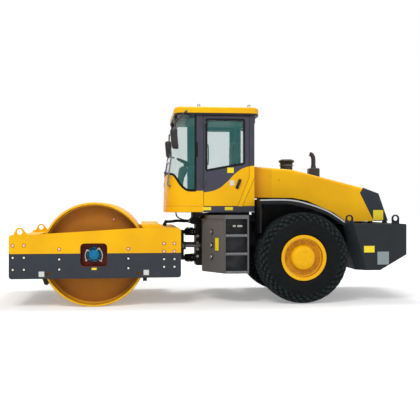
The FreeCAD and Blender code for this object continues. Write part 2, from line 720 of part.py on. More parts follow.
def centre_yoke():
    """Steering yoke: plate, two ears with their pins, and brackets for the rods."""
    body = new_body("centre_yoke")
    front, back = D.yokePlateReach, D.yokePlateReach + D.yokePlateWall
    half = D.yokeHalfWidth
    prism(body, "front", front, back, box_outline(-half, D.yokeLow, half, D.yokeTop))
    soften(body, D.yokePlateWall, lambda edge: runs_along(edge, "x"))
    for height in (D.upperEar, D.lowerEar):
        low, high = height - D.earWall / 2, height + D.earWall / 2
        prism(body, "top", low, high,
              [(back, -half * 0.8), (D.pivotReach, -D.earRadius), (D.pivotReach, D.earRadius),
               (back, half * 0.8)])
        prism(body, "top", low, high, circles=[(D.pivotReach, ZERO, D.earRadius)])
        reach = D.pinGap + D.cheekWall + D.seatGap * 10
        prism(body, "top", low - reach, high + reach,
              circles=[(D.pivotReach, ZERO, D.pinDiameter / 2)])
    eye = D.eyeDiameter / 2
    for side in (LEFT, RIGHT):
        for level in (LEFT, RIGHT):
            inner = D.cylinderHeight + (D.eyeWall / 2 + D.pinGap) * level
            outer = inner + D.cheekWall * level
            low, high = (inner, outer) if level > 0 else (outer, inner)
            prism(body, "top", low, high,
                  [(front, half * 0.6 * side), (back, half * 0.6 * side),
                   (D.rodPinReach + eye, (D.rodPinSpread + eye * 0.4) * side),
                   (D.rodPinReach + eye * 0.4, (D.rodPinSpread + eye) * side),
                   (D.rodPinReach - eye * 0.4, (D.rodPinSpread + eye) * side),
                   (front, (D.rodPinSpread + eye * 0.2) * side)])
    return place(body)


def steering_rod():
    """Rod with its eye and the pin that sits between the yoke's brackets."""
    body = new_body("steering_rod_left")
    prism(body, "top", -D.eyeWall / 2, D.eyeWall / 2, circles=[(ZERO, ZERO, D.eyeDiameter / 2)])
    prism(body, "front", ZERO, D.rodLength, circles=[(ZERO, ZERO, D.rodDiameter / 2)])
    return body


def steering_barrel():
    body = new_body("steering_barrel_left")
    radius = D.barrelDiameter / 2
    start = -D.barrelLength
    prism(body, "front", start, -D.eyeDiameter * 0.65, circles=[(ZERO, ZERO, radius)])
    prism(body, "front", -D.eyeDiameter * 0.7, ZERO, circles=[(ZERO, ZERO, D.rodDiameter / 2)])
    prism(body, "front", start, start + D.eyeWall * 0.5, circles=[(ZERO, ZERO, radius * 1.12)])
    prism(body, "top", -D.eyeWall / 2, D.eyeWall / 2, circles=[(ZERO, ZERO, D.eyeDiameter / 2)])
    prism(body, "front", start, -D.eyeDiameter * 0.75, circles=[(ZERO, ZERO, D.barrelBore / 2)],
          cut=True)
    prism(body, "top", -D.eyeWall / 2, D.eyeWall / 2, circles=[(ZERO, ZERO, D.eyePin / 2)], cut=True)
    return body


def lean_along_cylinder(body, along, across):
    """Lay a cylinder piece along the line from the rod's eye to the anchor."""
    span = D.anchorReach - D.rodPinReach
    lean = D.anchorSpread - D.rodPinSpread
    angle = math.degrees(math.atan2(lean.value, span.value))
    return place(body, along, -across, D.cylinderHeight, axis=(0, 0, 1), turn=-angle)


# Rear frame

def rear_frame():
    """Neck with the steering ears, chassis beams, deck and cylinder anchors."""
    body = new_body("rear_frame")
    neck, half = D.neckReach, D.neckHalfWidth
    neck_end = neck + D.neckLength
    end = D.wheelbase + D.rearOverhang * 0.56
    wall, wide = D.chassisWall, D.chassisHalfWidth
    prism(body, "side", -half, half,
          [(neck, D.neckLow), (neck + D.neckLength * 0.5, D.neckLow), (neck_end, D.chassisLow),
           (neck_end, D.neckTop), (neck, D.neckTop)])
    head_x, head_low = neck - D.headReach, D.neckTop - D.headDepth
    prism(body, "side", -half, half,
          [(head_x, head_low + D.headBevel * 0.6), (head_x + D.headBevel, head_low), (neck, head_low),
           (neck, D.neckTop), (head_x + D.headBevel, D.neckTop), (head_x, D.neckTop - D.headBevel)])
    beam = D.boxCorner + D.stepLength + D.railWall + D.doorGap
    block(body, (beam, -D.cabBeamHalfWidth, D.chassisTop),
          (beam + D.cabBeamLength, D.cabBeamHalfWidth, D.cabLow - D.mountHeight))
    block(body, (neck_end - wall, -wide, D.chassisLow), (neck_end, wide, D.chassisTop))
    for side in (LEFT, RIGHT):
        low, high = sorted((side * wide, side * (wide - wall)), key=lambda size: size.value)
        prism(body, "side", low, high,
              [(neck_end - wall, D.chassisLow), (end, D.chassisLow), (end, D.chassisTop),
               (neck_end - wall, D.chassisTop)])
    block(body, (neck_end - wall, -wide, D.chassisTop - wall * 0.5), (end, wide, D.chassisTop))
    block(body, (end - wall, -wide, D.chassisLow), (end, wide, D.chassisTop))
    for height in (D.upperEar, D.lowerEar):
        for level in (LEFT, RIGHT):
            inner = height + (D.earWall / 2 + D.pinGap) * level
            outer = inner + D.cheekWall * level
            low, high = (inner, outer) if level > 0 else (outer, inner)
            prism(body, "top", low, high,
                  [(neck, -half), (neck, half), (D.pivotReach, D.earRadius),
                   (D.pivotReach, -D.earRadius)])
            prism(body, "top", low, high, circles=[(D.pivotReach, ZERO, D.earRadius)])
            prism(body, "top", low, high,
                  circles=[(D.pivotReach, ZERO, D.pinDiameter / 2 + D.pinGap)], cut=True)
    eye = D.eyeDiameter / 2
    for side in (LEFT, RIGHT):
        for level in (LEFT, RIGHT):
            inner = D.cylinderHeight + (D.eyeWall / 2 + D.pinGap) * level
            outer = inner + D.cheekWall * level
            low, high = (inner, outer) if level > 0 else (outer, inner)
            prism(body, "top", low, high,
                  [(D.anchorReach - eye, half * 0.9 * side),
                   (D.anchorReach - eye, D.anchorSpread * side),
                   (D.anchorReach - eye * 0.4, (D.anchorSpread + eye) * side),
                   (D.anchorReach + eye, (D.anchorSpread + eye) * side),
                   (neck_end, wide * 0.94 * side), (neck_end, half * 0.9 * side)])
        prism(body, "top", D.cylinderHeight - D.eyeWall / 2 - D.cheekWall,
              D.cylinderHeight + D.eyeWall / 2 + D.cheekWall,
              circles=[(D.anchorReach, D.anchorSpread * side, D.eyePin / 2 - D.pinGap)])
    return place(body)


def rear_axle():
    """Axle tube with its bulge in the middle, saddles and hub flanges."""
    body = new_body("rear_axle")
    tube_r, bulge = D.axleDiameter / 2, D.diffDiameter / 2
    end = D.trackOver / 2 - D.tyreWidth * 0.07 - D.rimRecess - D.rimWall - D.seatGap
    flange = D.hubDiameter * 0.46
    half = D.axleDiameter * 1.1
    turned(body, [(-end, ZERO), (-end, flange), (D.axleDiameter * 0.4 - end, flange),
                  (D.axleDiameter * 0.4 - end, tube_r), (-half, tube_r), (-half * 0.5, bulge),
                  (half * 0.5, bulge), (half, tube_r), (end - D.axleDiameter * 0.4, tube_r),
                  (end - D.axleDiameter * 0.4, flange), (end, flange), (end, ZERO)])
    outer = D.chassisHalfWidth
    for side in (LEFT, RIGHT):
        low, high = sorted((side * outer, side * (outer - D.chassisWall)), key=lambda size: size.value)
        prism(body, "side", low, high,
              box_outline(-tube_r * 1.3, ZERO, tube_r * 1.3, D.chassisLow - REAR_AXLE))
    return place(body, D.wheelbase, up=REAR_AXLE)


def engine_block():
    body = new_body("engine_block")
    half = D.engineWidth / 2
    block(body, (D.engineFront, -half, D.chassisTop),
          (D.engineFront + D.engineLength, half, D.chassisTop + D.engineHeight))
    return place(body)


def counterweight():
    """Cast block at the rear, bevelled beside the tyres, with four lifting loops."""
    body = new_body("counterweight")
    half = D.weightHalfWidth
    front = REAR_END - D.weightTopLength
    toe = front + D.weightSlant
    end = D.wheelbase + D.rearOverhang * 0.56
    prism(body, "side", -half, half,
          [(front, D.weightTop), (toe, D.weightLow), (REAR_END - D.weightToe, D.weightLow),
           (REAR_END, D.weightKnee), (REAR_END, D.weightTop)])
    soften(body, D.weightChamfer,
           lambda edge: not runs_along(edge, "y") and middle(edge).x < toe.value
           and abs(abs(middle(edge).y) - half.value) < 1
           and abs(middle(edge).z - D.weightTop.value) > 50
           and abs(middle(edge).z - D.weightLow.value) > 50,
           "PartDesign::Chamfer")
    soften(body, D.weightEdge, lambda edge: abs(middle(edge).x - REAR_END.value) < 1)
    block(body, (front - D.weightEdge, -D.chassisHalfWidth - D.seatGap, D.chassisLow),
          (end + D.seatGap, D.chassisHalfWidth + D.seatGap, D.weightTop + D.weightEdge), cut=True)
    for side in (LEFT, RIGHT):
        outer = side * (half - D.loopInset)
        low, high = sorted((outer, outer - side * D.loopWall), key=lambda size: size.value)
        for start in (front + D.weightEdge, REAR_END - D.loopLength * 1.8):
            stop = start + D.loopLength
            round_x = (start + stop) / 2
            round_z = D.weightTop + D.loopHeight - D.loopLength / 2
            prism(body, "side", low, high, box_outline(start, D.weightTop, stop, round_z))
            prism(body, "side", low, high, circles=[(round_x, round_z, D.loopLength / 2)])
            prism(body, "side", low, high, circles=[(round_x, round_z, D.loopHole / 2)], cut=True)
        inner = side * (D.hoodHingeSpread + D.hoodHingeWall + D.pinGap)
        outer = inner + side * D.hoodHingeWall
        low, high = sorted((inner, outer), key=lambda size: size.value)
        hinge_x = REAR_END - D.hoodHingeSetback
        crest = D.hoodHingeHeight + D.hoodHingePin * 2
        prism(body, "side", low, high,
              [(hinge_x - D.hoodHingePin * 3, D.weightTop),
               (hinge_x + D.hoodHingePin * 3, D.weightTop),
               (hinge_x + D.hoodHingePin, crest), (hinge_x - D.hoodHingePin, crest)])
        prism(body, "side", low, high,
              circles=[(hinge_x, D.hoodHingeHeight, D.hoodHingePin + D.seatGap)], cut=True)
    return place(body)


def fender():
    """Mudguard over the left tyre: a bent plate with a lip on its outer side."""
    body = new_body("fender_left")
    outer, inner = D.fenderHalfWidth, D.chassisHalfWidth
    front = D.wheelbase - D.fenderFront
    rear = D.wheelbase + D.fenderRear
    top, wall = D.fenderTop, D.fenderWall
    bends = [(front, top), (D.wheelbase - D.fenderFront * 0.33, top),
             (D.wheelbase + D.fenderRear * 0.12, top - D.fenderDrop * 0.18),
             (D.wheelbase + D.fenderRear * 0.6, top - D.fenderDrop * 0.52),
             (rear, top - D.fenderDrop)]
    deep = D.fenderLip
    prism(body, "side", -outer, -inner,
          bends + [(along, up - deep) for along, up in reversed(bends)])
    prism(body, "side", wall - outer, -inner,
          [(along, up - wall) for along, up in bends]
          + [(along, up - deep - wall) for along, up in reversed(bends)], cut=True)
    block(body, (front, -outer, D.fenderFoot), (front + wall, -inner, top))
    return place(body)


def box_slant():
    """Run, spread and length of the side box's slanted face, seen from above."""
    run, spread = D.boxCorner - D.boxFront, D.stepOuter - D.boxNose
    return run, spread, math.hypot(run.value, spread.value)


def step_box():
    """Side box with a slanted front, a deck on top and three steps in its well."""
    body = new_body("step_box_left")
    inner, outer = D.chassisHalfWidth, D.stepOuter
    start = D.boxCorner
    end = start + D.stepLength
    run, spread, slant = box_slant()
    recess = D.coverWall + D.seatGap
    back_x, back_y = spread * recess / slant, run * recess / slant
    share = 1 - D.coverPost / slant
    post_x, post_y = D.boxFront + run * share, -D.boxNose - spread * share
    prism(body, "top", D.boxLow, D.boxTop,
          [(D.boxFront + back_x, -inner), (D.boxFront + back_x, back_y - D.boxNose),
           (post_x + back_x, post_y + back_y), (post_x, post_y), (start, -outer),
           (end + D.railWall, -outer), (end + D.railWall, -inner)])
    prism(body, "top", D.boxTop, D.boxTop + D.deckWall,
          [(D.boxFront + D.deckWall, -inner), (D.boxFront + D.deckWall, -D.boxNose * 1.12),
           (start, -outer), (end + D.railWall, -outer), (end + D.railWall, -inner)])
    block(body, (start, -outer - D.railWall, D.boxLow - D.railWall),
          (end, D.stepDepth - outer, D.boxTop), cut=True)
    for number in range(3):
        high = D.boxLow + D.stepWall + D.stepRise * number
        block(body, (start, -outer, high - D.stepWall), (end, D.stepDepth - outer, high))
    return place(body)


def box_cover():
    """Plate bolted on the slanted face of the side box, with a notched upper corner."""
    body = new_body("box_cover_left")
    run, spread, slant = box_slant()
    rear = slant - D.coverPost - D.coverWall / 2
    top = D.boxTop - D.coverDrop
    prism(body, "side", ZERO, D.coverWall,
          [(ZERO, D.boxLow), (rear, D.boxLow), (rear, top), (D.coverNotch, top),
           (D.coverNotch, D.coverShoulder), (D.coverWall * 2, D.coverEdge), (ZERO, D.coverEdge)])
    angle = math.degrees(math.atan2(spread.value, run.value))
    return place(body, D.boxFront, -D.boxNose, axis=(0, 0, 1), turn=-angle)


# Cab

def plan_outline(sketch, front, rear, half, corner):
    """Cab section seen from above: square at the rear, round front corners."""
    points = [(rear, -half), (front + corner, -half), (front, corner - half),
              (front, half - corner), (front + corner, half), (rear, half)]
    values = [V(along.value, across.value, 0) for along, across in points]
    centres = [V(front.value + corner.value, (half.value - corner.value) * side, 0)
               for side in (LEFT, RIGHT)]
    quarter = math.pi / 2
    arcs = [Part.ArcOfCircle(Part.Circle(centre, V(0, 0, 1), corner.value), start, start + quarter)
            for centre, start in zip(centres, (2 * quarter, quarter))]
    for piece in (Part.LineSegment(values[0], values[1]), arcs[0],
                  Part.LineSegment(values[2], values[3]), arcs[1],
                  Part.LineSegment(values[4], values[5]), Part.LineSegment(values[5], values[0])):
        sketch.addGeometry(piece, False)
    for line, point in ((0, 0), (2, 2), (4, 4)):
        pin_point(sketch, line, 1, *points[point])
        pin_point(sketch, line, 2, *points[point + 1])
    for first, first_end, second, second_end in (
            (4, 2, 5, 1), (5, 2, 0, 1), (1, 1, 2, 1), (1, 2, 0, 2), (3, 1, 4, 1), (3, 2, 2, 2)):
        sketch.addConstraint(Sketcher.Constraint("Coincident", first, first_end, second, second_end))
    for arc in (1, 3):
        number = sketch.addConstraint(Sketcher.Constraint("Radius", arc, corner.value))
        sketch.setExpression(f"Constraints[{number}]", corner.text)


def cab_loft(body, inset, kind="PartDesign::AdditiveLoft"):
    """Cab volume through three plan sections, drawn in by an inset."""
    sections = []
    spread = 0 if inset is ZERO else 1
    for height, front in ((D.cabLow - spread, D.cabFront),
                          (D.screenFoot, D.cabFront + D.cabWall * 0.5),
                          (D.cabTop + spread, D.cabFront + D.screenLean)):
        sketch = new_sketch(body, "top", height)
        rear = D.cabRear if inset is ZERO else D.cabRear - inset
        plan_outline(sketch, front + inset, rear, D.cabHalfWidth - inset, D.cabCorner - inset)
        sections.append(sketch)
    feature = body.newObject(kind, f"{body.Name}_loft")
    feature.Profile = sections[0]
    feature.Sections = sections[1:]
    feature.Ruled = True
    return feature


def keep_inside(body, outline):
    """Cut away all that is outside an outline seen from the side."""
    far = D.cabCorner
    half = D.cabHalfWidth + far
    sketch = new_sketch(body, "side", half)
    draw_outline(sketch, box_outline(D.cabFront - far, D.cabLow - far, D.cabRear + far,
                                     D.cabTop + far))
    draw_outline(sketch, outline)
    feature = body.newObject("PartDesign::Pocket", f"{body.Name}_trim")
    feature.Profile = sketch
    feature.Reversed = True
    feature.setExpression("Length", (half * 2).text)
    return feature


def screen_edge(drop):
    """Lower edge of the windscreen from front to rear, lowered by a gap."""
    dip = D.postFront - D.cabFront
    return [(D.cabFront - D.cabWall / 2, D.screenFoot - drop),
            (D.cabFront + dip * 0.26, D.screenFoot - D.cabWall * 0.85 - drop),
            (D.cabFront + dip * 0.46, (D.screenFoot + D.screenDip) / 2 - D.cabWall * 0.8 - drop),
            (D.cabFront + dip * 0.7, D.screenDip - drop), (D.postFront, D.screenDip - drop)]


def cab_floor():
    """Floor pan of the cab on four rubber mounts."""
    body = new_body("cab_floor")
    inset = D.cabWall + D.seatGap * 10
    skin = D.cabHalfWidth - D.cabWall * 2.5 - D.doorGap - D.seatGap
    sketch = new_sketch(body, "top", D.cabLow)
    plan_outline(sketch, D.cabFront + inset, D.postFront - D.seatGap, D.cabHalfWidth - inset,
                 D.cabCorner - inset)
    pad = body.newObject("PartDesign::Pad", "cab_floor_pan")
    pad.Profile = sketch
    pad.setExpression("Length", (CAB_FLOOR - D.cabLow).text)
    block(body, (D.postFront - D.cabWall, -skin, D.cabLow),
          (D.cabRear - D.cabWall - D.seatGap, skin, CAB_FLOOR))
    radius = D.mountDiameter / 2
    rear = D.cabRear - D.cabWall - D.seatGap - radius
    for side in (LEFT, RIGHT):
        prism(body, "top", D.neckTop, D.cabLow,
              circles=[(D.neckReach, (D.neckHalfWidth - radius) * side, radius)])
        prism(body, "top", D.cabLow - D.mountHeight, D.cabLow,
              circles=[(rear, (D.cabBeamHalfWidth - D.mountDiameter) * side, radius)])
    return place(body)


def cab_front_panel():
    """Painted shell round the cab's front, below the windscreen."""
    body = new_body("cab_front_panel")
    cab_loft(body, ZERO)
    cab_loft(body, D.cabWall, "PartDesign::SubtractiveLoft")
    post_end = D.postFront + D.postLength
    keep_inside(body, screen_edge(ZERO) + [(post_end, D.screenDip), (post_end, D.cabLow + D.glassWall),
                                           (D.cabFront - D.cabWall / 2, D.cabLow)])
    return place(body)


def windscreen():
    """Pane that wraps round the cab's front corners."""
    body = new_body("windscreen")
    cab_loft(body, ZERO)
    cab_loft(body, D.glassWall, "PartDesign::SubtractiveLoft")
    keep_inside(body, screen_edge(-D.seatGap)
                + [(D.postFront - D.seatGap, D.screenDip + D.seatGap), (D.postFront - D.seatGap, D.cabTop),
                   (D.cabFront - D.cabWall / 2, D.cabTop)])
    return place(body)


def cab_frame():
    """Sills, door posts, rear posts, rear wall and roof ring of the cab."""
    body = new_body("cab_frame")
    half, wall = D.cabHalfWidth, D.cabWall
    skin = half - wall - D.doorGap
    post_end = D.postFront + D.postLength
    block(body, (D.postFront, -skin, D.cabLow), (D.cabRear, skin, D.cabTop))
    door_foot, gap = D.doorRear - D.doorCutReach, D.doorGap
    for side in (LEFT, RIGHT):
        low, high = sorted((side * half, side * (skin - wall)), key=lambda size: size.value)
        block(body, (D.postFront, low, D.screenDip + D.seatGap), (post_end, high, D.cabTop))
        behind = side * (half - wall - D.seatGap)
        low_post, high_post = sorted((behind, side * (skin - wall)), key=lambda size: size.value)
        block(body, (D.postFront, low_post, D.cabLow), (post_end, high_post, D.screenDip + wall))
        block(body, (post_end, low, D.cabLow), (D.cabRear, high, D.sillTop - gap))
        prism(body, "side", low, high,
              [(door_foot + gap, D.sillTop - gap), (door_foot + gap, D.sillTop),
               (D.doorRear + gap, D.sillTop + D.doorCut), (D.doorRear + gap, D.cabTop),
               (D.cabRear, D.cabTop), (D.cabRear, D.sillTop + D.panelHeight),
               (D.cabRear - D.panelLength, D.sillTop), (D.cabRear - D.panelLength, D.sillTop - gap)])
        hinge_knuckles(body, side, False)
    block(body, (D.postFront - wall, wall * 1.5 - skin, D.cabLow - wall),
          (D.cabRear - wall, skin - wall * 1.5, D.cabTop - wall), cut=True)
    frame = D.doorFrame
    prism(body, "side", -half - wall, half + wall,
          [(post_end + frame * 0.4, D.sillTop + frame * 0.3),
           (door_foot - frame, D.sillTop + frame * 0.3),
           (D.doorRear - frame * 0.6, D.sillTop + D.doorCut),
           (D.doorRear - frame * 0.6, D.cabTop - frame),
           (post_end + frame * 0.4, D.cabTop - frame)], cut=True)
    block(body, (D.cabRear - wall * 2, -half + wall * 3.4, D.hoodTop + frame * 0.6),
          (D.cabRear + wall, half - wall * 3.4, D.cabTop - frame), cut=True)
    block(body, (D.postFront - wall, -half + wall * 3, D.cabTop - wall * 2),
          (D.cabRear - wall * 3, half - wall * 3, D.cabTop + wall), cut=True)
    return place(body)


def corner_panel():
    """Painted panel on the cab's lower rear corner, behind a slanted seam."""
    body = new_body("corner_panel_left")
    rise = D.doorGap * D.panelHeight / D.panelLength
    prism(body, "side", -D.cabHalfWidth, D.cabWall + D.doorGap - D.seatGap - D.cabHalfWidth,
          [(D.cabRear - D.panelLength + D.doorGap, D.sillTop), (D.cabRear, D.sillTop),
           (D.cabRear, D.sillTop + D.panelHeight - rise)])
    return place(body)


def rear_window():
    body = new_body("rear_window")
    half, wall, frame = D.cabHalfWidth, D.cabWall, D.doorFrame
    gap = D.seatGap
    block(body, (D.cabRear - wall * 0.7, -half + wall * 3.4 + gap, D.hoodTop + frame * 0.6 + gap),
          (D.cabRear - wall * 0.7 + D.glassWall, half - wall * 3.4 - gap, D.cabTop - frame - gap))
    return place(body)


def door_outline(inset):
    """Door seen from the side, drawn in by an inset, with its slanted rear corner."""
    front = D.postFront + D.postLength + D.doorGap + inset
    rear = D.doorRear - inset
    low, high = D.sillTop + inset, D.cabTop - D.doorGap - inset
    return [(front, low), (rear - D.doorCutReach, low), (rear, low + D.doorCut), (rear, high),
            (front, high)]


def pane_outline(gap):
    front = D.postFront + D.postLength + D.doorGap + D.doorFrame * 0.45 + gap
    rear = D.doorRear - D.doorFrame - gap
    high = D.cabTop - D.doorGap - D.doorFrame * 0.7 - gap
    return [(front, D.doorPaneLow + gap), (rear, D.doorPaneLow + D.doorPaneRise + gap), (rear, high),
            (front, high)]


def hinge_knuckles(body, side, on_door):
    """Knuckles and leaves of the door hinges, upper half on the door."""
    axis_x = D.postFront + D.postLength + D.doorGap / 2
    axis_y = side * (D.cabHalfWidth + D.hingeRadius)
    reach = D.hingeRadius * 3
    leaf = (side * (D.cabHalfWidth + D.hingeLeaf), side * D.cabHalfWidth)
    low_y, high_y = sorted(leaf, key=lambda size: size.value)
    for height in (D.hingeLow, D.hingeHigh):
        low = height + D.hingeLength + D.pinGap if on_door else height
        high = low + D.hingeLength
        start, stop = (axis_x + D.doorGap / 2, axis_x + reach) if on_door else (
            axis_x - reach, axis_x - D.doorGap / 2)
        block(body, (start, low_y, low), (stop, high_y, high))
        prism(body, "top", low, high, circles=[(axis_x, axis_y, D.hingeRadius)])


def door():
    """Flat door with its window cut, an inner rim and two hinges."""
    body = new_body("door_left")
    outer, inner = -D.cabHalfWidth, D.cabWall - D.cabHalfWidth
    prism(body, "side", outer, inner, door_outline(ZERO))
    prism(body, "side", outer, inner, pane_outline(ZERO), cut=True)
    hinge_knuckles(body, LEFT, True)
    return place(body)


def door_glass():
    body = new_body("door_glass_left")
    outer = D.cabWall * 0.3 - D.cabHalfWidth
    prism(body, "side", outer, outer + D.glassWall, pane_outline(D.seatGap))
    return place(body)


def cab_roof():
    """Roof slab with rounded corners, a drawn-in top and two lifting eyelets."""
    body = new_body("cab_roof")
    half = D.roofHalfWidth
    block(body, (D.roofFront, -half, D.cabTop), (D.roofRear, half, D.cabTop + D.roofHeight))
    soften(body, D.roofCorner, lambda edge: runs_along(edge, "z"))
    doc.recompute()
    top = D.cabTop + D.roofHeight
    tip = body.Tip
    faces = [f"Face{number}" for number, face in enumerate(tip.Shape.Faces, start=1)
             if abs(face.CenterOfMass.z - top.value) < 1]
    edge = body.newObject("PartDesign::Fillet", "cab_roof_edge")
    edge.Base = (tip, faces)
    edge.setExpression("Radius", D.roofEdge.text)
    for along in (D.postFront + D.eyeletHeight * 0.65, D.doorRear):
        stop = along + D.eyeletHeight * 1.6
        peak = top + D.eyeletHeight
        prism(body, "side", -D.glassWall, D.glassWall,
              [(along, top), (stop, top), (stop - D.eyeletHeight * 0.4, peak),
               (along + D.eyeletHeight * 0.4, peak)])
        prism(body, "side", -D.glassWall, D.glassWall,
              circles=[((along + stop) / 2, top + D.eyeletHeight / 2, D.eyeletHeight * 0.25)], cut=True)
    return place(body)


def work_lamps():
    """Lamps below the roof's front and rear overhang."""
    body = new_body("work_lamps")
    high = D.cabTop - D.seatGap
    low = high - D.lampHeight
    half = D.lampWidth / 2
    for start in (D.roofFront + D.lampDepth * 0.2, D.cabRear + D.seatGap):
        block(body, (start, -D.lampSpread - half, low),
              (start + D.lampDepth, half - D.lampSpread, high + D.seatGap))
    mirrored(body)
    return place(body)


def seat_base():
    """Seat console with its suspension box."""
    body = new_body("seat_base")
    half = D.cushionWidth / 2
    front = D.seatReach - D.cushionLength / 2
    foot, wall = D.cushionHeight, D.cabWall
    block(body, (front + foot, foot - half, CAB_FLOOR),
          (front + D.cushionLength - foot, half - foot, D.seatHeight - wall))
    block(body, (front + wall, wall - half, D.seatHeight - wall),
          (front + D.cushionLength + wall, half - wall, D.seatHeight))
    block(body, (front + D.cushionLength, wall * 2 - half, D.seatHeight - wall),
          (front + D.cushionLength + wall, half - wall * 2, D.seatHeight + D.backHeight * 0.6))
    return place(body)


def seat_cushions():
    """Cushion and back of the seat, two separate pads."""
    body = new_body("seat_cushions")
    half, front = D.cushionWidth / 2, D.seatReach - D.cushionLength / 2
    rear = front + D.cushionLength
    deep = D.cushionHeight
    low = D.seatHeight + D.seatGap
    block(body, (front, -half, low), (rear - deep - D.cushionGap, half, low + deep))
    foot = low + deep * 0.5
    prism(body, "side", -half * 0.92, half * 0.92,
          [(rear - deep, foot), (rear - D.seatGap, foot), (rear - D.seatGap, foot + D.backHeight),
           (rear - deep * 0.7, foot + D.backHeight), (rear - deep, foot + D.backHeight * 0.8)])
    return place(body)


def steering_column():
    """Console and leaning column in front of the seat."""
    body = new_body("steering_column")
    half = D.wheelDiameter * 0.3
    foot = D.cabFront + D.cabWall * 2
    top_x, top_z = column_top()
    face = D.wheelDiameter * 0.27
    rear_x, rear_z = top_x + face * math.cos(TILT), top_z - face * math.sin(TILT)
    front_x, front_z = top_x - face * math.cos(TILT), top_z + face * math.sin(TILT)
    prism(body, "side", -half, half,
          [(foot, CAB_FLOOR), (D.consoleReach, CAB_FLOOR), (rear_x - face * 0.3, rear_z - face),
           (rear_x, rear_z), (front_x, front_z), (foot + face * 0.5, front_z - face * 2)])
    return place(body)


def column_top():
    """Middle of the column's upper face, which the wheel's hub sits on."""
    return D.consoleReach - D.wheelTube, CAB_FLOOR + D.columnHeight


def steering_wheel():
    """Ring, three spokes and hub, turned about the column's axis."""
    body = new_body("steering_wheel")
    ring, rim = D.wheelTube / 2, D.wheelDiameter / 2 - D.wheelTube / 2
    sketch = new_sketch(body, "side", ZERO)
    draw_circle(sketch, rim, ZERO, ring)
    turn = body.newObject("PartDesign::Revolution", "steering_wheel_ring")
    turn.Profile = sketch
    turn.ReferenceAxis = (sketch, ["V_Axis"])
    turn.Angle = 360
    prism(body, "top", -D.wheelTube * 2, ring * 0.6, circles=[(ZERO, ZERO, D.wheelTube * 1.4)])
    slim = ring * 0.5
    prism(body, "top", -slim, slim, box_outline(ZERO, -ring, rim, ring))
    for side in (LEFT, RIGHT):
        across = rim * 0.866 * side
        prism(body, "top", -slim, slim,
              [(ring * 0.9, ring * side * 0.5), (-ring * 0.9, -ring * side * 0.5),
               (-rim * 0.5 - ring * 0.9, across - ring * side * 0.5),
               (-rim * 0.5 + ring * 0.9, across + ring * side * 0.5)])
    lift = D.wheelTube * 2 + D.seatGap
    top_x, top_z = column_top()
    return place(body, top_x + lift * math.sin(TILT), up=top_z + lift * math.cos(TILT),
                 axis=(0, 1, 0), turn=D.columnTilt.value)


# Hood

def hood_line():
    """Upper corner of the grille, its knee and its tail."""
    return [(REAR_END - D.grilleSetback, D.hoodEnd), (REAR_END - D.grilleKneeReach, D.grilleKnee),
            (REAR_END - D.grilleTailReach, D.grilleLow)]


def hood_seam():
    """Edge between hood and grille, from the top down."""
    top = REAR_END - D.grilleSetback
    return [(top, D.hoodEnd), (top - D.grilleApexReach, D.hoodEnd - D.grilleApexDrop),
            (REAR_END - D.grilleFootReach, D.grilleLow)]


def hood():
    """Engine hood: sides and top in one sheet, open below and behind."""
    body = new_body("hood")
    half, wall = D.hoodHalfWidth, D.hoodWall
    arch, reach = D.hoodArch, D.hoodArchReach
    lower = [(D.wheelbase + reach, D.grilleLow),
             (D.wheelbase + reach * 0.756, D.hoodLow - arch * 0.593),
             (D.wheelbase + reach * 0.211, D.hoodLow - arch * 0.126),
             (D.wheelbase - reach * 0.079, D.hoodLow - arch * 0.017), (D.hoodFront, D.hoodLow)]
    upper = [(D.hoodFront, D.hoodTop), (D.hoodBendReach, D.hoodBend)]
    prism(body, "side", -half, half, upper + hood_seam() + lower)
    soften(body, D.hoodEdge,
           lambda edge: not runs_along(edge, "y") and abs(abs(middle(edge).y) - half.value) < 1
           and middle(edge).z > D.hoodEnd.value and middle(edge).x > D.hoodFront.value + 1)
    prism(body, "side", wall - half, half - wall,
          [(D.hoodFront + wall, D.hoodTop - wall * 1.1), (D.hoodBendReach, D.hoodBend - wall),
           (REAR_END - D.grilleSetback - D.pinGap, D.hoodEnd - wall), (REAR_END, D.hoodEnd - wall * 5),
           (REAR_END, D.grilleLow - wall), (D.hoodFront + wall, D.grilleLow - wall)], cut=True)
    prism(body, "top", D.hoodEnd, D.hoodTop,
          circles=[(D.cleanerReach, ZERO, D.cleanerDiameter * 0.225 + D.seatGap)], cut=True)
    base = D.stackBase / 2 + D.seatGap
    block(body, (D.stackReach - base, -base, D.hoodEnd), (D.stackReach + base, base, D.hoodTop),
          cut=True)
    return place(body)


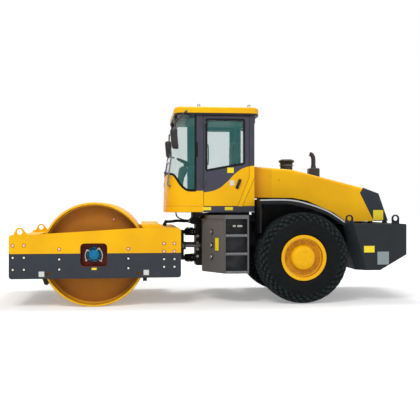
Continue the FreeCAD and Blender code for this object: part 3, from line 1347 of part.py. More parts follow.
def rear_grille():
    """Grille that closes the hood's rear: a frame with slanted louvres."""
    body = new_body("rear_grille")
    half, wall, gap = D.hoodHalfWidth, D.hoodWall, D.seatGap
    seam = [(along + gap, up) for along, up in hood_seam()]
    prism(body, "side", -half, half, [seam[0]] + hood_line()[1:] + [seam[2], seam[1]])
    knee, tail = hood_line()[1], hood_line()[2]
    ahead = wall * 5
    prism(body, "side", wall - half, half - wall,
          [(seam[0][0] - ahead, D.hoodEnd - wall * 1.4), (seam[0][0] + wall, D.hoodEnd - wall * 1.4),
           (knee[0] - wall, knee[1] - wall), (tail[0] - wall, tail[1] + wall),
           (seam[2][0] - ahead, D.grilleLow + wall)], cut=True)
    hinge_x = REAR_END - D.hoodHingeSetback
    pin = D.hoodHingePin
    for side in (LEFT, RIGHT):
        inner = side * D.hoodHingeSpread
        outer = inner + side * D.hoodHingeWall
        tip = outer + side * (D.hoodHingeWall + D.pinGap)
        low, high = sorted((inner, outer), key=lambda size: size.value)
        prism(body, "side", low, high,
              [(tail[0] - pin, D.grilleLow), (hinge_x, D.grilleLow),
               (hinge_x + pin * 0.9, D.hoodHingeHeight), (hinge_x, D.hoodHingeHeight + pin * 1.6),
               (tail[0] - pin, D.grilleLow + pin * 4)])
        low, high = sorted((outer, tip), key=lambda size: size.value)
        prism(body, "side", low, high, circles=[(hinge_x, D.hoodHingeHeight, pin)])
    frame = D.grilleFrame
    prism(body, "side", frame + wall - half, half - wall - frame,
          [(knee[0] - wall * 1.2, knee[1] - frame), (knee[0] + ahead, knee[1] - frame),
           (tail[0] + ahead, tail[1] + frame), (tail[0] - wall * 1.2, tail[1] + frame)], cut=True)
    run = tail[0] - knee[0]
    drop = knee[1] - tail[1]
    count = 7
    for number in range(count):
        share = (number + 0.5) / count
        along = knee[0] + run * (0.13 + 0.74 * share)
        up = knee[1] - frame - (drop - frame * 2) * share
        prism(body, "side", frame + wall - half, half - wall - frame,
              [(along, up - D.louvreWall * 1.6), (along, up - D.louvreWall * 0.4),
               (along - wall, up + D.louvreWall * 1.6), (along - wall, up + D.louvreWall * 0.4)])
    return place(body)


def pre_cleaner():
    """Bowl and cap of the air intake on the hood."""
    body = new_body("pre_cleaner")
    radius, top = D.cleanerDiameter / 2, D.cleanerTop
    foot, base = D.hoodBend - D.hoodWall * 1.1, D.hoodBend + D.hoodWall * 0.3
    turned(body, [(ZERO, foot), (radius * 0.45, foot), (radius * 0.45, base), (radius * 0.9, base),
                  (radius * 0.9, top - radius * 0.62), (radius, top - radius * 0.5),
                  (radius * 1.16, top - radius * 0.3), (radius * 1.16, top - radius * 0.18),
                  (radius * 0.8, top), (ZERO, top)], view="side", axis="V_Axis")
    return place(body, D.cleanerReach)


def exhaust_stack():
    """Exhaust pipe with a bent end, on its base plate."""
    bend = D.stackDiameter * 1.2
    base = doc.addObject("Part::Box", "exhaust_base")
    half = D.stackBase / 2
    base.setExpression("Length", D.stackBase.text)
    base.setExpression("Width", D.stackBase.text)
    base.setExpression("Height", D.stackBaseHeight.text)
    base.setExpression("Placement.Base.x", (D.stackReach - half).text)
    base.setExpression("Placement.Base.y", (-half).text)
    base.setExpression("Placement.Base.z", (D.stackShoulder - D.stackBaseHeight).text)
    pipe = tube("exhaust_pipe",
                [(D.stackReach, 0, D.stackShoulder - D.stackDiameter),
                 (D.stackReach, 0, D.stackTop - bend * 1.05),
                 (D.stackReach - bend * 0.75, 0, D.stackTop - D.stackDiameter * 0.35)],
                D.stackDiameter / 2, bend * 0.9)
    return place(joined("exhaust_stack", base, pipe))


# Wheels

def tyre():
    body = new_body("tyre_left")
    half, radius = D.tyreWidth / 2, D.tyreDiameter / 2
    seat = D.rimDiameter / 2 + D.seatGap
    soft = D.tyreShoulder
    bead = half * 0.82
    lip = D.flangeDiameter / 2 + soft * 0.08
    turned(body, [(-bead, seat), (bead, seat), (bead, lip), (half * 0.93, lip + soft * 0.3),
                  (half, (seat + radius) / 2), (half, radius - soft),
                  (half - soft * 0.55, radius - soft * 0.2), (half - soft * 1.6, radius),
                  (soft * 1.6 - half, radius), (soft * 0.55 - half, radius - soft * 0.2),
                  (-half, radius - soft), (-half, (seat + radius) / 2),
                  (-half * 0.93, lip + soft * 0.3), (-bead, lip)])
    return place(body, D.wheelbase, -(D.trackOver / 2 - half), REAR_AXLE)


def rim():
    """Rim with its flanges, the recessed disc and the domed hub cover."""
    body = new_body("rim_left")
    half = D.tyreWidth / 2 * 0.86
    seat, flange, wall = D.rimDiameter / 2, D.flangeDiameter / 2, D.rimWall
    disc = half - D.rimRecess
    hub = D.hubDiameter / 2
    turned(body, [(-half, seat - wall), (disc - wall, seat - wall), (disc - wall, ZERO),
                  (disc + D.hubRise, ZERO), (disc + D.hubRise, hub * 0.62),
                  (disc + D.hubRise * 0.78, hub * 0.86), (disc + D.hubRise * 0.1, hub), (disc, hub),
                  (disc, seat - wall * 3), (disc + wall, seat - wall), (half, seat - wall),
                  (half + wall, flange - wall), (half + wall, flange), (half - wall * 0.5, flange),
                  (half - wall * 0.5, seat), (wall * 0.5 - half, seat), (wall * 0.5 - half, flange),
                  (-half - wall, flange), (-half - wall, flange - wall)])
    return place(body, D.wheelbase, -(D.trackOver / 2 - D.tyreWidth / 2), REAR_AXLE,
                 axis=(0, 0, 1), turn=180)


# Mirrors and rails

def mirror():
    head = new_body("mirror_head")
    along, across, up = D.mirrorReach, -D.mirrorSpread, D.mirrorHeight
    wide, tall, deep = D.mirrorWidth / 2, D.mirrorLength / 2, D.mirrorDepth / 2
    prism(head, "front", along - deep, along + deep,
          box_outline(across - wide, up - tall, across + wide, up + tall))
    soften(head, D.mirrorDepth * 0.7, lambda edge: runs_along(edge, "x"))
    top = up + tall
    side = -D.roofHalfWidth
    rise = D.cabTop + D.roofHeight * 0.4
    arm = tube("mirror_arm",
               [(along, across, top - D.tubeRadius), (along, across, top + D.mirrorLength * 0.4),
                (along + D.mirrorWidth, side - D.mirrorDepth, rise),
                (along + D.mirrorWidth, side - D.seatGap, rise)],
               D.tubeRadius, D.tubeRadius * 2.5)
    return place(joined("mirror_left", head, arm))


def corner_point(height, front, stand):
    """Point on the cab's round front corner, moved out along its normal."""
    turn = math.asin(1 - D.handleInset.value / D.cabCorner.value)
    reach = D.cabCorner + stand
    return (front + D.cabCorner - reach * math.cos(turn),
            D.cabCorner - D.cabHalfWidth - reach * math.sin(turn), height)


def grab_handle():
    """Bent rail at the windscreen's lower corner."""
    low, high = D.screenFoot - D.handleLow, D.screenFoot + D.handleHigh
    lean = (D.screenLean - D.cabWall * 0.5) * D.handleHigh / (D.cabTop - D.screenFoot)
    foot_x, top_x = D.cabFront + D.cabWall * 0.35, D.cabFront + D.cabWall * 0.5 + lean
    rail = tube("grab_handle_left",
                [corner_point(low, foot_x, D.seatGap * 3), corner_point(low, foot_x, D.handleStand),
                 corner_point((low + high) / 2, (foot_x + top_x) / 2, D.handleStand * 1.1),
                 corner_point(high, top_x, D.handleStand),
                 corner_point(high, top_x, D.tubeRadius * 0.5)],
                D.tubeRadius, D.tubeRadius * 2.5)
    return place(rail)


def check(pieces):
    """Stop if any feature failed, a pocket cut nothing or a piece is not sound."""
    for item in doc.Objects:
        if "Invalid" in item.State or "Error" in item.State:
            raise RuntimeError(f"{item.Name} failed: {item.State}")
        if item.TypeId in ("PartDesign::Pocket", "PartDesign::Groove"):
            if item.Shape.Volume > item.BaseFeature.Shape.Volume - 1:
                raise RuntimeError(f"{item.Name} cuts nothing")
    for piece in pieces:
        if piece.Shape.isNull() or not piece.Shape.isValid():
            raise RuntimeError(f"{piece.Label} is not a sound solid")


def write(pieces):
    os.makedirs("parts", exist_ok=True)
    for piece in pieces:
        piece.Shape.exportStep(os.path.join("parts", f"{piece.Label}.step"))


def build():
    pairs = [side_plate(), fender(), step_box(), box_cover(), corner_panel(), door(), door_glass(),
             tyre(), rim(), mirror(), grab_handle(),
             lean_along_cylinder(steering_rod(), D.rodPinReach, D.rodPinSpread),
             lean_along_cylinder(steering_barrel(), D.anchorReach, D.anchorSpread)]
    twins = [other_side(piece, piece.Label.replace("left", "right")) for piece in pairs]
    singles = [drum_shell(), drum_discs(), crossbeams(), oscillation_bearing(), scrapers(),
               drum_mounts(), vibration_motors(), hose_gland(), joint_hose(), cab_hose(),
               centre_yoke(), rear_frame(), rear_axle(), engine_block(), counterweight(),
               cab_floor(), cab_front_panel(), windscreen(), cab_frame(), rear_window(), cab_roof(),
               work_lamps(), seat_base(), seat_cushions(), steering_column(), steering_wheel(),
               hood(), rear_grille(), pre_cleaner(), exhaust_stack()]
    doc.recompute()
    pieces = pairs + twins + singles
    check(pieces)
    write(pieces)


build()
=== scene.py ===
import math

import bmesh
import bpy
from mathutils import Matrix, Vector


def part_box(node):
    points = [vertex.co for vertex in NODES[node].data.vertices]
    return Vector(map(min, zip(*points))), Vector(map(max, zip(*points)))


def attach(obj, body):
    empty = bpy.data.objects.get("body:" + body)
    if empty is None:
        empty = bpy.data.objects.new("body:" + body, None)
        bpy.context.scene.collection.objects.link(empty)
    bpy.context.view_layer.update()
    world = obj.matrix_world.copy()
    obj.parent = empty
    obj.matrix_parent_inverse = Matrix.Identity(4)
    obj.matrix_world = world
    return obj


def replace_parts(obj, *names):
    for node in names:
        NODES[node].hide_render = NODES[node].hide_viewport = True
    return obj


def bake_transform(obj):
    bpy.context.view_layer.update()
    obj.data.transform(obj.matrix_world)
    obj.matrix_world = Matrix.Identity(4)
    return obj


# Looks of the vibratory roller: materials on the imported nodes, and the small pieces on them.
# Places written in millimetres are the model's drawing places: along from the drum's axle,
# across from the middle, up from the ground. at() turns them into the scene's metres.

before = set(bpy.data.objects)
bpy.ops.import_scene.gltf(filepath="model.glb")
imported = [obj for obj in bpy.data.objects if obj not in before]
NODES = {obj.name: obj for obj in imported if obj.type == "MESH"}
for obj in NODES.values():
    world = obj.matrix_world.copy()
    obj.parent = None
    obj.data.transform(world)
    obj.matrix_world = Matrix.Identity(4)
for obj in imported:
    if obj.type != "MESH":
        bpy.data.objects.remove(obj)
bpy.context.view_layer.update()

DRAWING_SHIFT = 1855
LEFT, RIGHT = -1, 1
SIDES = {"left": LEFT, "right": RIGHT}
BOTH = (LEFT, RIGHT)

# Faces that pieces sit on, in drawing millimetres from the middle, and the counterweight's rear
PLATE_FACE, DISC_FACE, CAB_SIDE, HOOD_SIDE, WEIGHT_SIDE = 1150, 876, 820, 620, 1050
WEIGHT_REAR = 4969

UP, ALONG, ACROSS = Vector((0, 0, 1)), Vector((1, 0, 0)), Vector((0, 1, 0))


def at(along, across, up):
    return Vector(((along - DRAWING_SHIFT) / 1000, across / 1000, up / 1000))


def outward(side):
    return Vector((0, side, 0))


def circle(count):
    """Even angles round a circle."""
    return [2 * math.pi * i / count for i in range(count)]


DRUM_AXLE = at(0, 0, 800)
WHEEL_AXLE = at(3260, 0, 725)


# Colours, linear

def linear(red, green, blue):
    values = []
    for value in (red, green, blue):
        value /= 255
        values.append(value / 12.92 if value < 0.04045 else ((value + 0.055) / 1.055) ** 2.4)
    return (*values, 1)


YELLOW = linear(248, 188, 2)
YELLOW_DUSTY = linear(238, 175, 10)
DARK_GREY = linear(50, 55, 62)
CAB_GREY = linear(68, 67, 80)
NEAR_BLACK = linear(22, 23, 26)
DULL_BLACK = linear(18, 19, 21)
DUST = linear(150, 134, 108)
GOLD = linear(222, 160, 24)
STEEL = linear(150, 147, 140)


# Materials

class Nodes:
    """A material's node tree with short calls for the nodes used here."""

    def __init__(self, name):
        self.material = bpy.data.materials.new(name)
        self.material.use_nodes = True
        self.tree = self.material.node_tree
        self.shader = self.tree.nodes["Principled BSDF"]
        self.output = self.tree.nodes["Material Output"]
        self.place = self.add("ShaderNodeTexCoord").outputs["Object"]

    def add(self, kind, **settings):
        node = self.tree.nodes.new(kind)
        for key, value in settings.items():
            setattr(node, key, value)
        return node

    def link(self, source, target):
        if hasattr(source, "is_output"):
            self.tree.links.new(source, target)
        else:
            target.default_value = source

    def noise(self, scale, detail=3, roughness=0.5, place=None):
        node = self.add("ShaderNodeTexNoise")
        self.tree.links.new(place or self.place, node.inputs["Vector"])
        node.inputs["Scale"].default_value = scale
        node.inputs["Detail"].default_value = detail
        node.inputs["Roughness"].default_value = roughness
        return node.outputs["Fac"]

    def ramp(self, value, low, high, start=0.0, end=1.0):
        node = self.add("ShaderNodeMapRange")
        node.interpolation_type = "SMOOTHSTEP"
        self.link(value, node.inputs["Value"])
        for socket, number in (("From Min", low), ("From Max", high), ("To Min", start), ("To Max", end)):
            node.inputs[socket].default_value = number
        return node.outputs["Result"]

    def patches(self, scale, detail, low, high, start=0.0, end=1.0):
        """Noise, ramped between two of its levels."""
        return self.ramp(self.noise(scale, detail), low, high, start, end)

    def math(self, operation, first, second=0.0):
        node = self.add("ShaderNodeMath", operation=operation)
        self.link(first, node.inputs[0])
        self.link(second, node.inputs[1])
        return node.outputs[0]

    def times(self, first, *others):
        for other in others:
            first = self.math("MULTIPLY", first, other)
        return first

    def mix(self, share, first, second):
        node = self.add("ShaderNodeMix", data_type="RGBA")
        self.link(share, node.inputs["Factor"])
        self.link(first, node.inputs["A"])
        self.link(second, node.inputs["B"])
        return node.outputs["Result"]

    def split(self, vector=None):
        node = self.add("ShaderNodeSeparateXYZ")
        self.tree.links.new(vector or self.place, node.inputs[0])
        return node.outputs["X"], node.outputs["Y"], node.outputs["Z"]

    def facing(self):
        """The parts of the face's normal."""
        return self.split(self.add("ShaderNodeNewGeometry").outputs["Normal"])

    def stretched(self, scale):
        node = self.add("ShaderNodeMapping")
        self.tree.links.new(self.place, node.inputs["Vector"])
        node.inputs["Scale"].default_value = scale
        return node.outputs["Vector"]

    def radius(self, axle):
        """Distance from an axle that runs across the machine."""
        along, _, height = self.split()
        x, z = self.math("SUBTRACT", along, axle.x), self.math("SUBTRACT", height, axle.z)
        return self.math("SQRT", self.math("ADD", self.times(x, x), self.times(z, z)))

    def edges(self, radius):
        """Mask that is 1 on sharp edges, from how far the rounded normal leans away."""
        bevel = self.add("ShaderNodeBevel", samples=6)
        bevel.inputs["Radius"].default_value = radius
        geometry = self.add("ShaderNodeNewGeometry")
        dot = self.add("ShaderNodeVectorMath", operation="DOT_PRODUCT")
        self.tree.links.new(bevel.outputs["Normal"], dot.inputs[0])
        self.tree.links.new(geometry.outputs["Normal"], dot.inputs[1])
        return self.ramp(dot.outputs["Value"], 0.98, 0.86)

    def bump(self, height, distance, strength=1.0, rounding=0.0):
        node = self.add("ShaderNodeBump")
        self.link(height, node.inputs["Height"])
        node.inputs["Distance"].default_value = distance
        node.inputs["Strength"].default_value = strength
        if rounding:
            bevel = self.add("ShaderNodeBevel", samples=4)
            bevel.inputs["Radius"].default_value = rounding
            self.tree.links.new(bevel.outputs["Normal"], node.inputs["Normal"])
        self.tree.links.new(node.outputs["Normal"], self.shader.inputs["Normal"])

    def set(self, **values):
        names = {"color": "Base Color", "rough": "Roughness", "metal": "Metallic", "coat": "Coat Weight",
                 "coat_rough": "Coat Roughness", "level": "Specular IOR Level", "sheen": "Sheen Weight",
                 "ior": "IOR", "alpha": "Alpha"}
        for key, value in values.items():
            self.link(value, self.shader.inputs[names[key]])


def curve_line(nodes, value, points):
    """A height that follows points (along in metres, up in metres) by a Float Curve."""
    low, high = points[0][0], points[-1][0]
    floor, top = min(p[1] for p in points), max(p[1] for p in points)
    share = nodes.add("ShaderNodeMapRange")
    nodes.link(value, share.inputs["Value"])
    share.inputs["From Min"].default_value = low
    share.inputs["From Max"].default_value = high
    curve = nodes.add("ShaderNodeFloatCurve")
    nodes.link(share.outputs["Result"], curve.inputs["Value"])
    line = curve.mapping.curves[0]
    ends = [((x - low) / (high - low), (z - floor) / (top - floor)) for x, z in points]
    line.points[0].location = ends[0]
    line.points[1].location = ends[-1]
    for end in ends[1:-1]:
        line.points.new(*end)
    curve.mapping.update()
    back = nodes.add("ShaderNodeMapRange")
    nodes.link(curve.outputs["Value"], back.inputs["Value"])
    back.inputs["To Min"].default_value = floor
    back.inputs["To Max"].default_value = top
    return back.outputs["Result"]


def paint(name, color, worn, rough=0.42, dust=0.08, coat=0.03, two_tone=None, level=0.18):
    """Painted sheet metal: faint colour drift, dust low down, wear on edges, orange peel."""
    n = Nodes(name)
    base = n.mix(n.patches(1.7, 5, 0.35, 0.7), color, worn)
    if two_tone:
        base = two_tone(n, base)
    _, _, height = n.split()
    low = n.ramp(height, 1.3, 0.3)
    specks = n.ramp(n.noise(9, 8, 0.7), 0.5, 0.8)
    base = n.mix(n.times(low, specks, dust), base, DUST)
    rim = n.times(n.edges(0.006), n.patches(26, 4, 0.42, 0.62), 0.35)
    base = n.mix(rim, base, n.mix(0.5, base, linear(60, 50, 40)))
    n.set(color=base, coat=coat, coat_rough=0.08, level=level)
    n.set(rough=n.patches(5, 4, 0.3, 0.75, rough - 0.05, rough + 0.12))
    n.bump(n.noise(240, 2), 0.0006, 0.35, rounding=0.004)
    return n.material


# Second colours of painted parts, by place in metres

def side_plate_split(n, base):
    """Grey lower half, and rust on the cut faces round the motor window."""
    along, _, height = n.split()
    x = n.math("ABSOLUTE", n.math("SUBTRACT", along, DRUM_AXLE.x))
    z = n.math("ABSOLUTE", n.math("SUBTRACT", height, DRUM_AXLE.z))
    _, sideways, _ = n.facing()
    edge = n.times(n.ramp(x, 0.2032, 0.2026), n.ramp(z, 0.1772, 0.1766),
                   n.ramp(n.math("ABSOLUTE", sideways), 0.7, 0.3))
    base = n.mix(n.ramp(height, 0.826, 0.823), base, DARK_GREY)
    return n.mix(edge, base, linear(176, 92, 34))


def scraper_split(n, base):
    """Black below, yellow on top."""
    _, _, height = n.split()
    return n.mix(n.ramp(height, 0.90, 0.92), base, YELLOW)


DOOR_LINE = [(-0.170, 1.757), (0.049, 1.800), (0.225, 1.925), (0.370, 2.069), (0.516, 2.157), (0.690, 2.190)]


def over_line(n, sign):
    """Mask that is 1 above the door's paint line, or with sign -1 below it."""
    along, _, height = n.split()
    gap = n.math("SUBTRACT", height, curve_line(n, along, DOOR_LINE))
    return n.ramp(gap, -0.003 * sign, 0.003 * sign)


def door_split(n, base):
    """Grey above the curved paint line."""
    return n.mix(over_line(n, 1), base, CAB_GREY)


def frame_split(n, base):
    """Cab frame: grey, but yellow on the corner strips below the paint line."""
    along, _, height = n.split()
    strip = n.times(over_line(n, -1), n.ramp(along, 0.385, 0.39), n.ramp(height, 1.536, 1.540))
    return n.mix(strip, base, YELLOW)


def hood_front_painted_shade(n, base):
    """Painted shade on the hood's front strip, darkest beside the cab's rear wall."""
    along, _, _ = n.split()
    front = n.times(n.ramp(along, 0.992, 0.985), n.ramp(along, 1.0, 0.70, 0.35, 0.85))
    return n.mix(front, base, linear(222, 150, 22))


def roof_underside_painted_shade(n, base):
    """Yellow roof with its lower lip and underside painted near-black as painted shade."""
    _, _, height = n.split()
    return n.mix(n.ramp(height, 3.022, 3.019), base, linear(34, 33, 36))


def rim_split(n, base):
    """Orange-brown ring between the rim's flange and its hub, painted shade in the recess, with a darker line round
    it.
    """
    radius = n.radius(WHEEL_AXLE)
    ring = n.times(n.ramp(radius, 0.194, 0.202), n.ramp(radius, 0.296, 0.284), 0.9)
    # Darker mottled orange in the recessed ring: painted shade.
    rim_recess_painted_shade = n.mix(n.patches(14, 6, 0.35, 0.65), linear(216, 150, 10), linear(198, 124, 10))
    line = n.times(n.ramp(radius, 0.300, 0.303), n.ramp(radius, 0.310, 0.307), 0.6)
    return n.mix(ring, n.mix(line, base, linear(150, 88, 10)), rim_recess_painted_shade)


def plastic(name, color, rough):
    n = Nodes(name)
    n.set(color=n.mix(n.patches(6, 5, 0.3, 0.8), color, n.mix(0.06, color, DUST)), level=0.35)
    n.set(rough=n.patches(12, 3, 0.3, 0.7, rough - 0.06, rough + 0.1))
    n.bump(n.noise(900, 2), 0.0004, 0.4, rounding=0.003)
    return n.material


def tread_zone(n, base):
    """Greyer scuffed tread with its grooves painted near-black as painted shade, around near-black sidewalls."""
    scuffed = n.mix(n.patches(11, 6, 0.35, 0.7), linear(40, 47, 48), linear(26, 32, 33))
    groove_painted_shade = n.add("ShaderNodeAttribute", attribute_name="groove_painted_shade").outputs["Fac"]
    # Grooves painted near-black by their depth: painted shade in the tread's recesses.
    scuffed = n.mix(groove_painted_shade, scuffed, linear(3, 4, 5))
    return n.mix(n.ramp(n.radius(WHEEL_AXLE), 0.56, 0.62), base, scuffed)


def rubber(name, color, dust, level=0.35, zones=None):
    n = Nodes(name)
    patches = n.ramp(n.noise(4, 8, 0.65), 0.42, 0.8)
    base = n.mix(n.times(patches, dust), color, linear(96, 92, 84))
    n.set(color=zones(n, base) if zones else base, level=level)
    n.set(rough=n.patches(30, 4, 0.3, 0.7, 0.62, 0.82))
    n.bump(n.noise(420, 4), 0.0008, 0.5)
    return n.material


def metal(name, color, rough=0.35, metal_share=0.9, streak=60):
    n = Nodes(name)
    lines = n.noise(streak, 6, 0.6, n.stretched((1, 8, 1)))
    n.set(color=n.mix(n.ramp(lines, 0.3, 0.75), color, n.mix(0.45, color, linear(70, 62, 52))), metal=metal_share)
    n.set(rough=n.ramp(lines, 0.25, 0.8, rough - 0.08, rough + 0.18))
    n.bump(lines, 0.0005, 0.4, rounding=0.002)
    return n.material


def drum_steel(name):
    """Yellow paint with patches worn down to steel on the rolling face, golden inside."""
    n = Nodes(name)
    _, across, _ = n.split()
    radius = n.radius(DRUM_AXLE)
    outside = n.ramp(radius, 0.7905, 0.7955)
    inside = n.ramp(radius, 0.7705, 0.7685)
    scuffs = n.noise(7, 9, 0.72)
    steel = n.mix(n.ramp(scuffs, 0.4, 0.66), STEEL, linear(104, 86, 66))
    painted = n.mix(n.patches(3, 5, 0.35, 0.7), linear(240, 178, 10), linear(222, 160, 16))
    worn = n.ramp(n.noise(5, 9, 0.72, n.stretched((1, 3, 1))), 0.56, 0.66)
    bare = n.times(outside, worn, n.ramp(n.math("ABSOLUTE", across), 0.95, 0.6))
    ring = n.mix(n.patches(18, 6, 0.5, 0.8), YELLOW, linear(214, 150, 20))
    wall = n.mix(n.patches(9, 6, 0.4, 0.7), GOLD, linear(196, 130, 22))
    color = n.mix(bare, n.mix(outside, n.mix(inside, ring, wall), painted), steel)
    n.set(color=color, metal=n.times(bare, 0.75), level=0.35)
    n.set(rough=n.ramp(scuffs, 0.3, 0.75, 0.32, 0.6))
    n.bump(n.times(n.noise(60, 6, 0.7), outside), 0.0012, 0.5)
    return n.material


def disc_brown(name):
    """Inner disc of the drum: yellow-brown paint, faintly stained, darker towards its rim as painted shade in the
    corner with the shell, with a golden welded rim.
    """
    n = Nodes(name)
    stains = n.ramp(n.noise(1.6, 6, 0.55), 0.3, 0.8)
    radius = n.radius(DRUM_AXLE)
    base = n.mix(stains, linear(186, 116, 18), linear(168, 102, 18))
    # Painted shade: darker towards the rim, where the disc meets the shell's inner wall.
    base = n.mix(n.times(n.ramp(radius, 0.60, 0.75), 0.45), base, linear(122, 68, 16))
    base = n.mix(n.ramp(radius, 0.742, 0.750), base, GOLD)
    n.set(color=base, level=0.35)
    n.set(rough=n.patches(20, 4, 0.3, 0.7, 0.5, 0.72))
    n.bump(n.noise(120, 4), 0.0008, 0.4)
    return n.material


def glass(name, tint):
    """Tinted pane: mostly clear, with a faint mirror at grazing angles."""
    n = Nodes(name)
    n.set(color=tint, rough=0.02, ior=1.45, alpha=0.14, level=0.5)
    n.bump(n.noise(3, 2), 0.0004, 0.15)
    n.material.surface_render_method = "BLENDED"
    return n.material


def fabric(name, color):
    """Woven seat cloth: crossed threads from two sine waves, with fuzz."""
    n = Nodes(name)
    x, y, z = n.split()
    threads = 2600
    weave = n.times(n.math("SINE", n.times(n.math("ADD", x, z), threads)), n.math("SINE", n.times(y, threads)))
    n.set(color=n.mix(n.ramp(weave, -0.6, 0.8), color, linear(70, 74, 80)), rough=0.9, sheen=0.4, level=0.2)
    n.bump(n.math("ADD", weave, n.noise(60, 4)), 0.0006, 0.5)
    return n.material


def plain_gloss(name, color, rough):
    n = Nodes(name)
    n.set(color=n.mix(n.patches(40, 3, 0.4, 0.8), color, n.mix(0.15, color, DUST)), rough=rough)
    n.bump(n.noise(300, 2), 0.0003, 0.3)
    return n.material


def deck_plate(name, color):
    """Grey steel deck with raised grip studs from a cell pattern, and step wells painted dark as painted shade,
    near-black low down.
    """
    n = Nodes(name)
    cells = n.add("ShaderNodeTexVoronoi", feature="F1")
    n.tree.links.new(n.place, cells.inputs["Vector"])
    cells.inputs["Scale"].default_value = 34
    cells.inputs["Randomness"].default_value = 0.0
    _, _, upward = n.facing()
    studs = n.times(n.ramp(cells.outputs["Distance"], 0.32, 0.22), n.ramp(upward, 0.8, 0.95))
    base = n.mix(n.patches(3, 6, 0.4, 0.75), color, n.mix(0.06, color, DUST))
    base = n.mix(n.times(studs, 0.5), base, linear(120, 118, 114))
    along, across, height = n.split()
    # Step wells: painted shade, darkest low down.
    well = n.times(n.ramp(along, 0.163, 0.166), n.ramp(along, 0.509, 0.506),
                   n.ramp(n.math("ABSOLUTE", across), 1.116, 1.112), n.ramp(height, 1.338, 1.334))
    well_painted_shade = n.mix(n.ramp(height, 1.10, 1.12), linear(42, 43, 47), linear(10, 11, 13))
    base = n.mix(well, base, well_painted_shade)
    n.set(color=base, level=0.4)
    n.set(rough=n.patches(10, 4, 0.3, 0.7, 0.42, 0.6))
    n.bump(studs, 0.004, 0.7, rounding=0.004)
    return n.material


MATERIALS = {
    "yellow": paint("yellow_paint", YELLOW, YELLOW_DUSTY),
    "side_plate": paint("side_plate_paint", YELLOW, YELLOW_DUSTY, two_tone=side_plate_split),
    "door": paint("door_paint", YELLOW, YELLOW_DUSTY, two_tone=door_split),
    "cab_frame": paint("cab_frame_paint", CAB_GREY, linear(60, 61, 71), rough=0.45, coat=0.04, two_tone=frame_split),
    "hood": paint("hood_paint", YELLOW, YELLOW_DUSTY, two_tone=hood_front_painted_shade),
    "roof": paint("roof_paint", YELLOW, YELLOW_DUSTY, two_tone=roof_underside_painted_shade),
    "rim": paint("rim_paint", YELLOW, YELLOW_DUSTY, rough=0.38, two_tone=rim_split),
    "dark": paint("dark_grey_paint", linear(44, 48, 56), linear(40, 44, 50), rough=0.5, coat=0.03, dust=0.04),
    "scraper": paint("scraper_paint", NEAR_BLACK, DULL_BLACK, two_tone=scraper_split),
    "black": paint("black_grey_paint", NEAR_BLACK, DULL_BLACK, rough=0.55, coat=0.02, dust=0.03),
    "weight": paint("counterweight_paint", linear(33, 38, 42), linear(28, 33, 37), 0.5, 0.03, 0.02,
                    level=0.2),
    "primer": paint("primer_brown_paint", linear(112, 38, 14), linear(72, 24, 10), rough=0.5, coat=0.05),
    "box": deck_plate("box_grey_paint", linear(94, 94, 97)),
    "fender": paint("fender_paint", linear(15, 16, 19), linear(12, 13, 15), rough=0.6, coat=0.0, dust=0.04, level=0.2),
    "disc": disc_brown("disc_brown"),
    "drum": drum_steel("drum_steel"),
    "blue": paint("motor_blue_paint", linear(0, 128, 172), linear(0, 100, 150), rough=0.34, coat=0.15, dust=0.02),
    "tyre": rubber("tyre_rubber", linear(7, 9, 11), 0.03, 0.14, tread_zone),
    "hose": rubber("hose_rubber", linear(26, 27, 29), 0.2),
    # Black rubber for seals and trim; also painted shade round the lower side plate bolts and in the exhaust's mouth.
    "seal": rubber("seal_rubber_and_painted_shade", linear(12, 12, 14), 0.02, 0.2),
    "plastic": plastic("black_plastic", linear(20, 21, 25), 0.42),
    "trim": plastic("cab_trim_plastic", linear(66, 68, 70), 0.6),
    "steel": metal("bright_steel", linear(190, 190, 186), 0.3),
    "rod": metal("rod_steel", linear(96, 96, 96), 0.34, 0.5),
    "zinc": metal("zinc_bolts", linear(206, 200, 184), 0.38, 0.7),
    "bright": plain_gloss("bright_bolt_heads", linear(236, 232, 226), 0.4),
    # Rust for the drum's bolts; also painted shade round the side plate bolts on the yellow.
    "rust": paint("rust_and_washer_shade_paint", linear(196, 98, 40), linear(168, 78, 30), rough=0.5, coat=0.0),
    "handrail": metal("handrail_steel", linear(126, 128, 132), 0.38, 0.6),
    "exhaust": metal("exhaust_steel", linear(30, 31, 36), 0.42, 0.35),
    "iron": paint("engine_iron_paint", linear(70, 72, 72), linear(54, 55, 55), rough=0.6, coat=0.0),
    "glass": glass("cab_glass", linear(74, 166, 160)),
    "silver": plain_gloss("silver_strip", linear(176, 178, 182), 0.35),
    # Darker orange: painted shade in the cab's front crease and round the wheel nuts; also the hood locks.
    "crease": plain_gloss("panel_crease", linear(206, 138, 8), 0.5),
    "red_lens": plain_gloss("tail_lens", linear(168, 14, 10), 0.15),
    "amber_lens": plain_gloss("turn_lens", linear(226, 120, 8), 0.15),
    "mirror": metal("mirror_glass", linear(220, 225, 228), 0.06, 1.0, 3),
    "sticker_yellow": plain_gloss("blank_sticker_yellow", linear(246, 220, 20), 0.4),
    "sticker_white": plain_gloss("blank_sticker_white", linear(214, 216, 214), 0.4),
    "sticker_grey": plain_gloss("blank_plate_grey", linear(132, 146, 150), 0.35),
    "seat": fabric("seat_fabric", linear(40, 42, 46)),
}

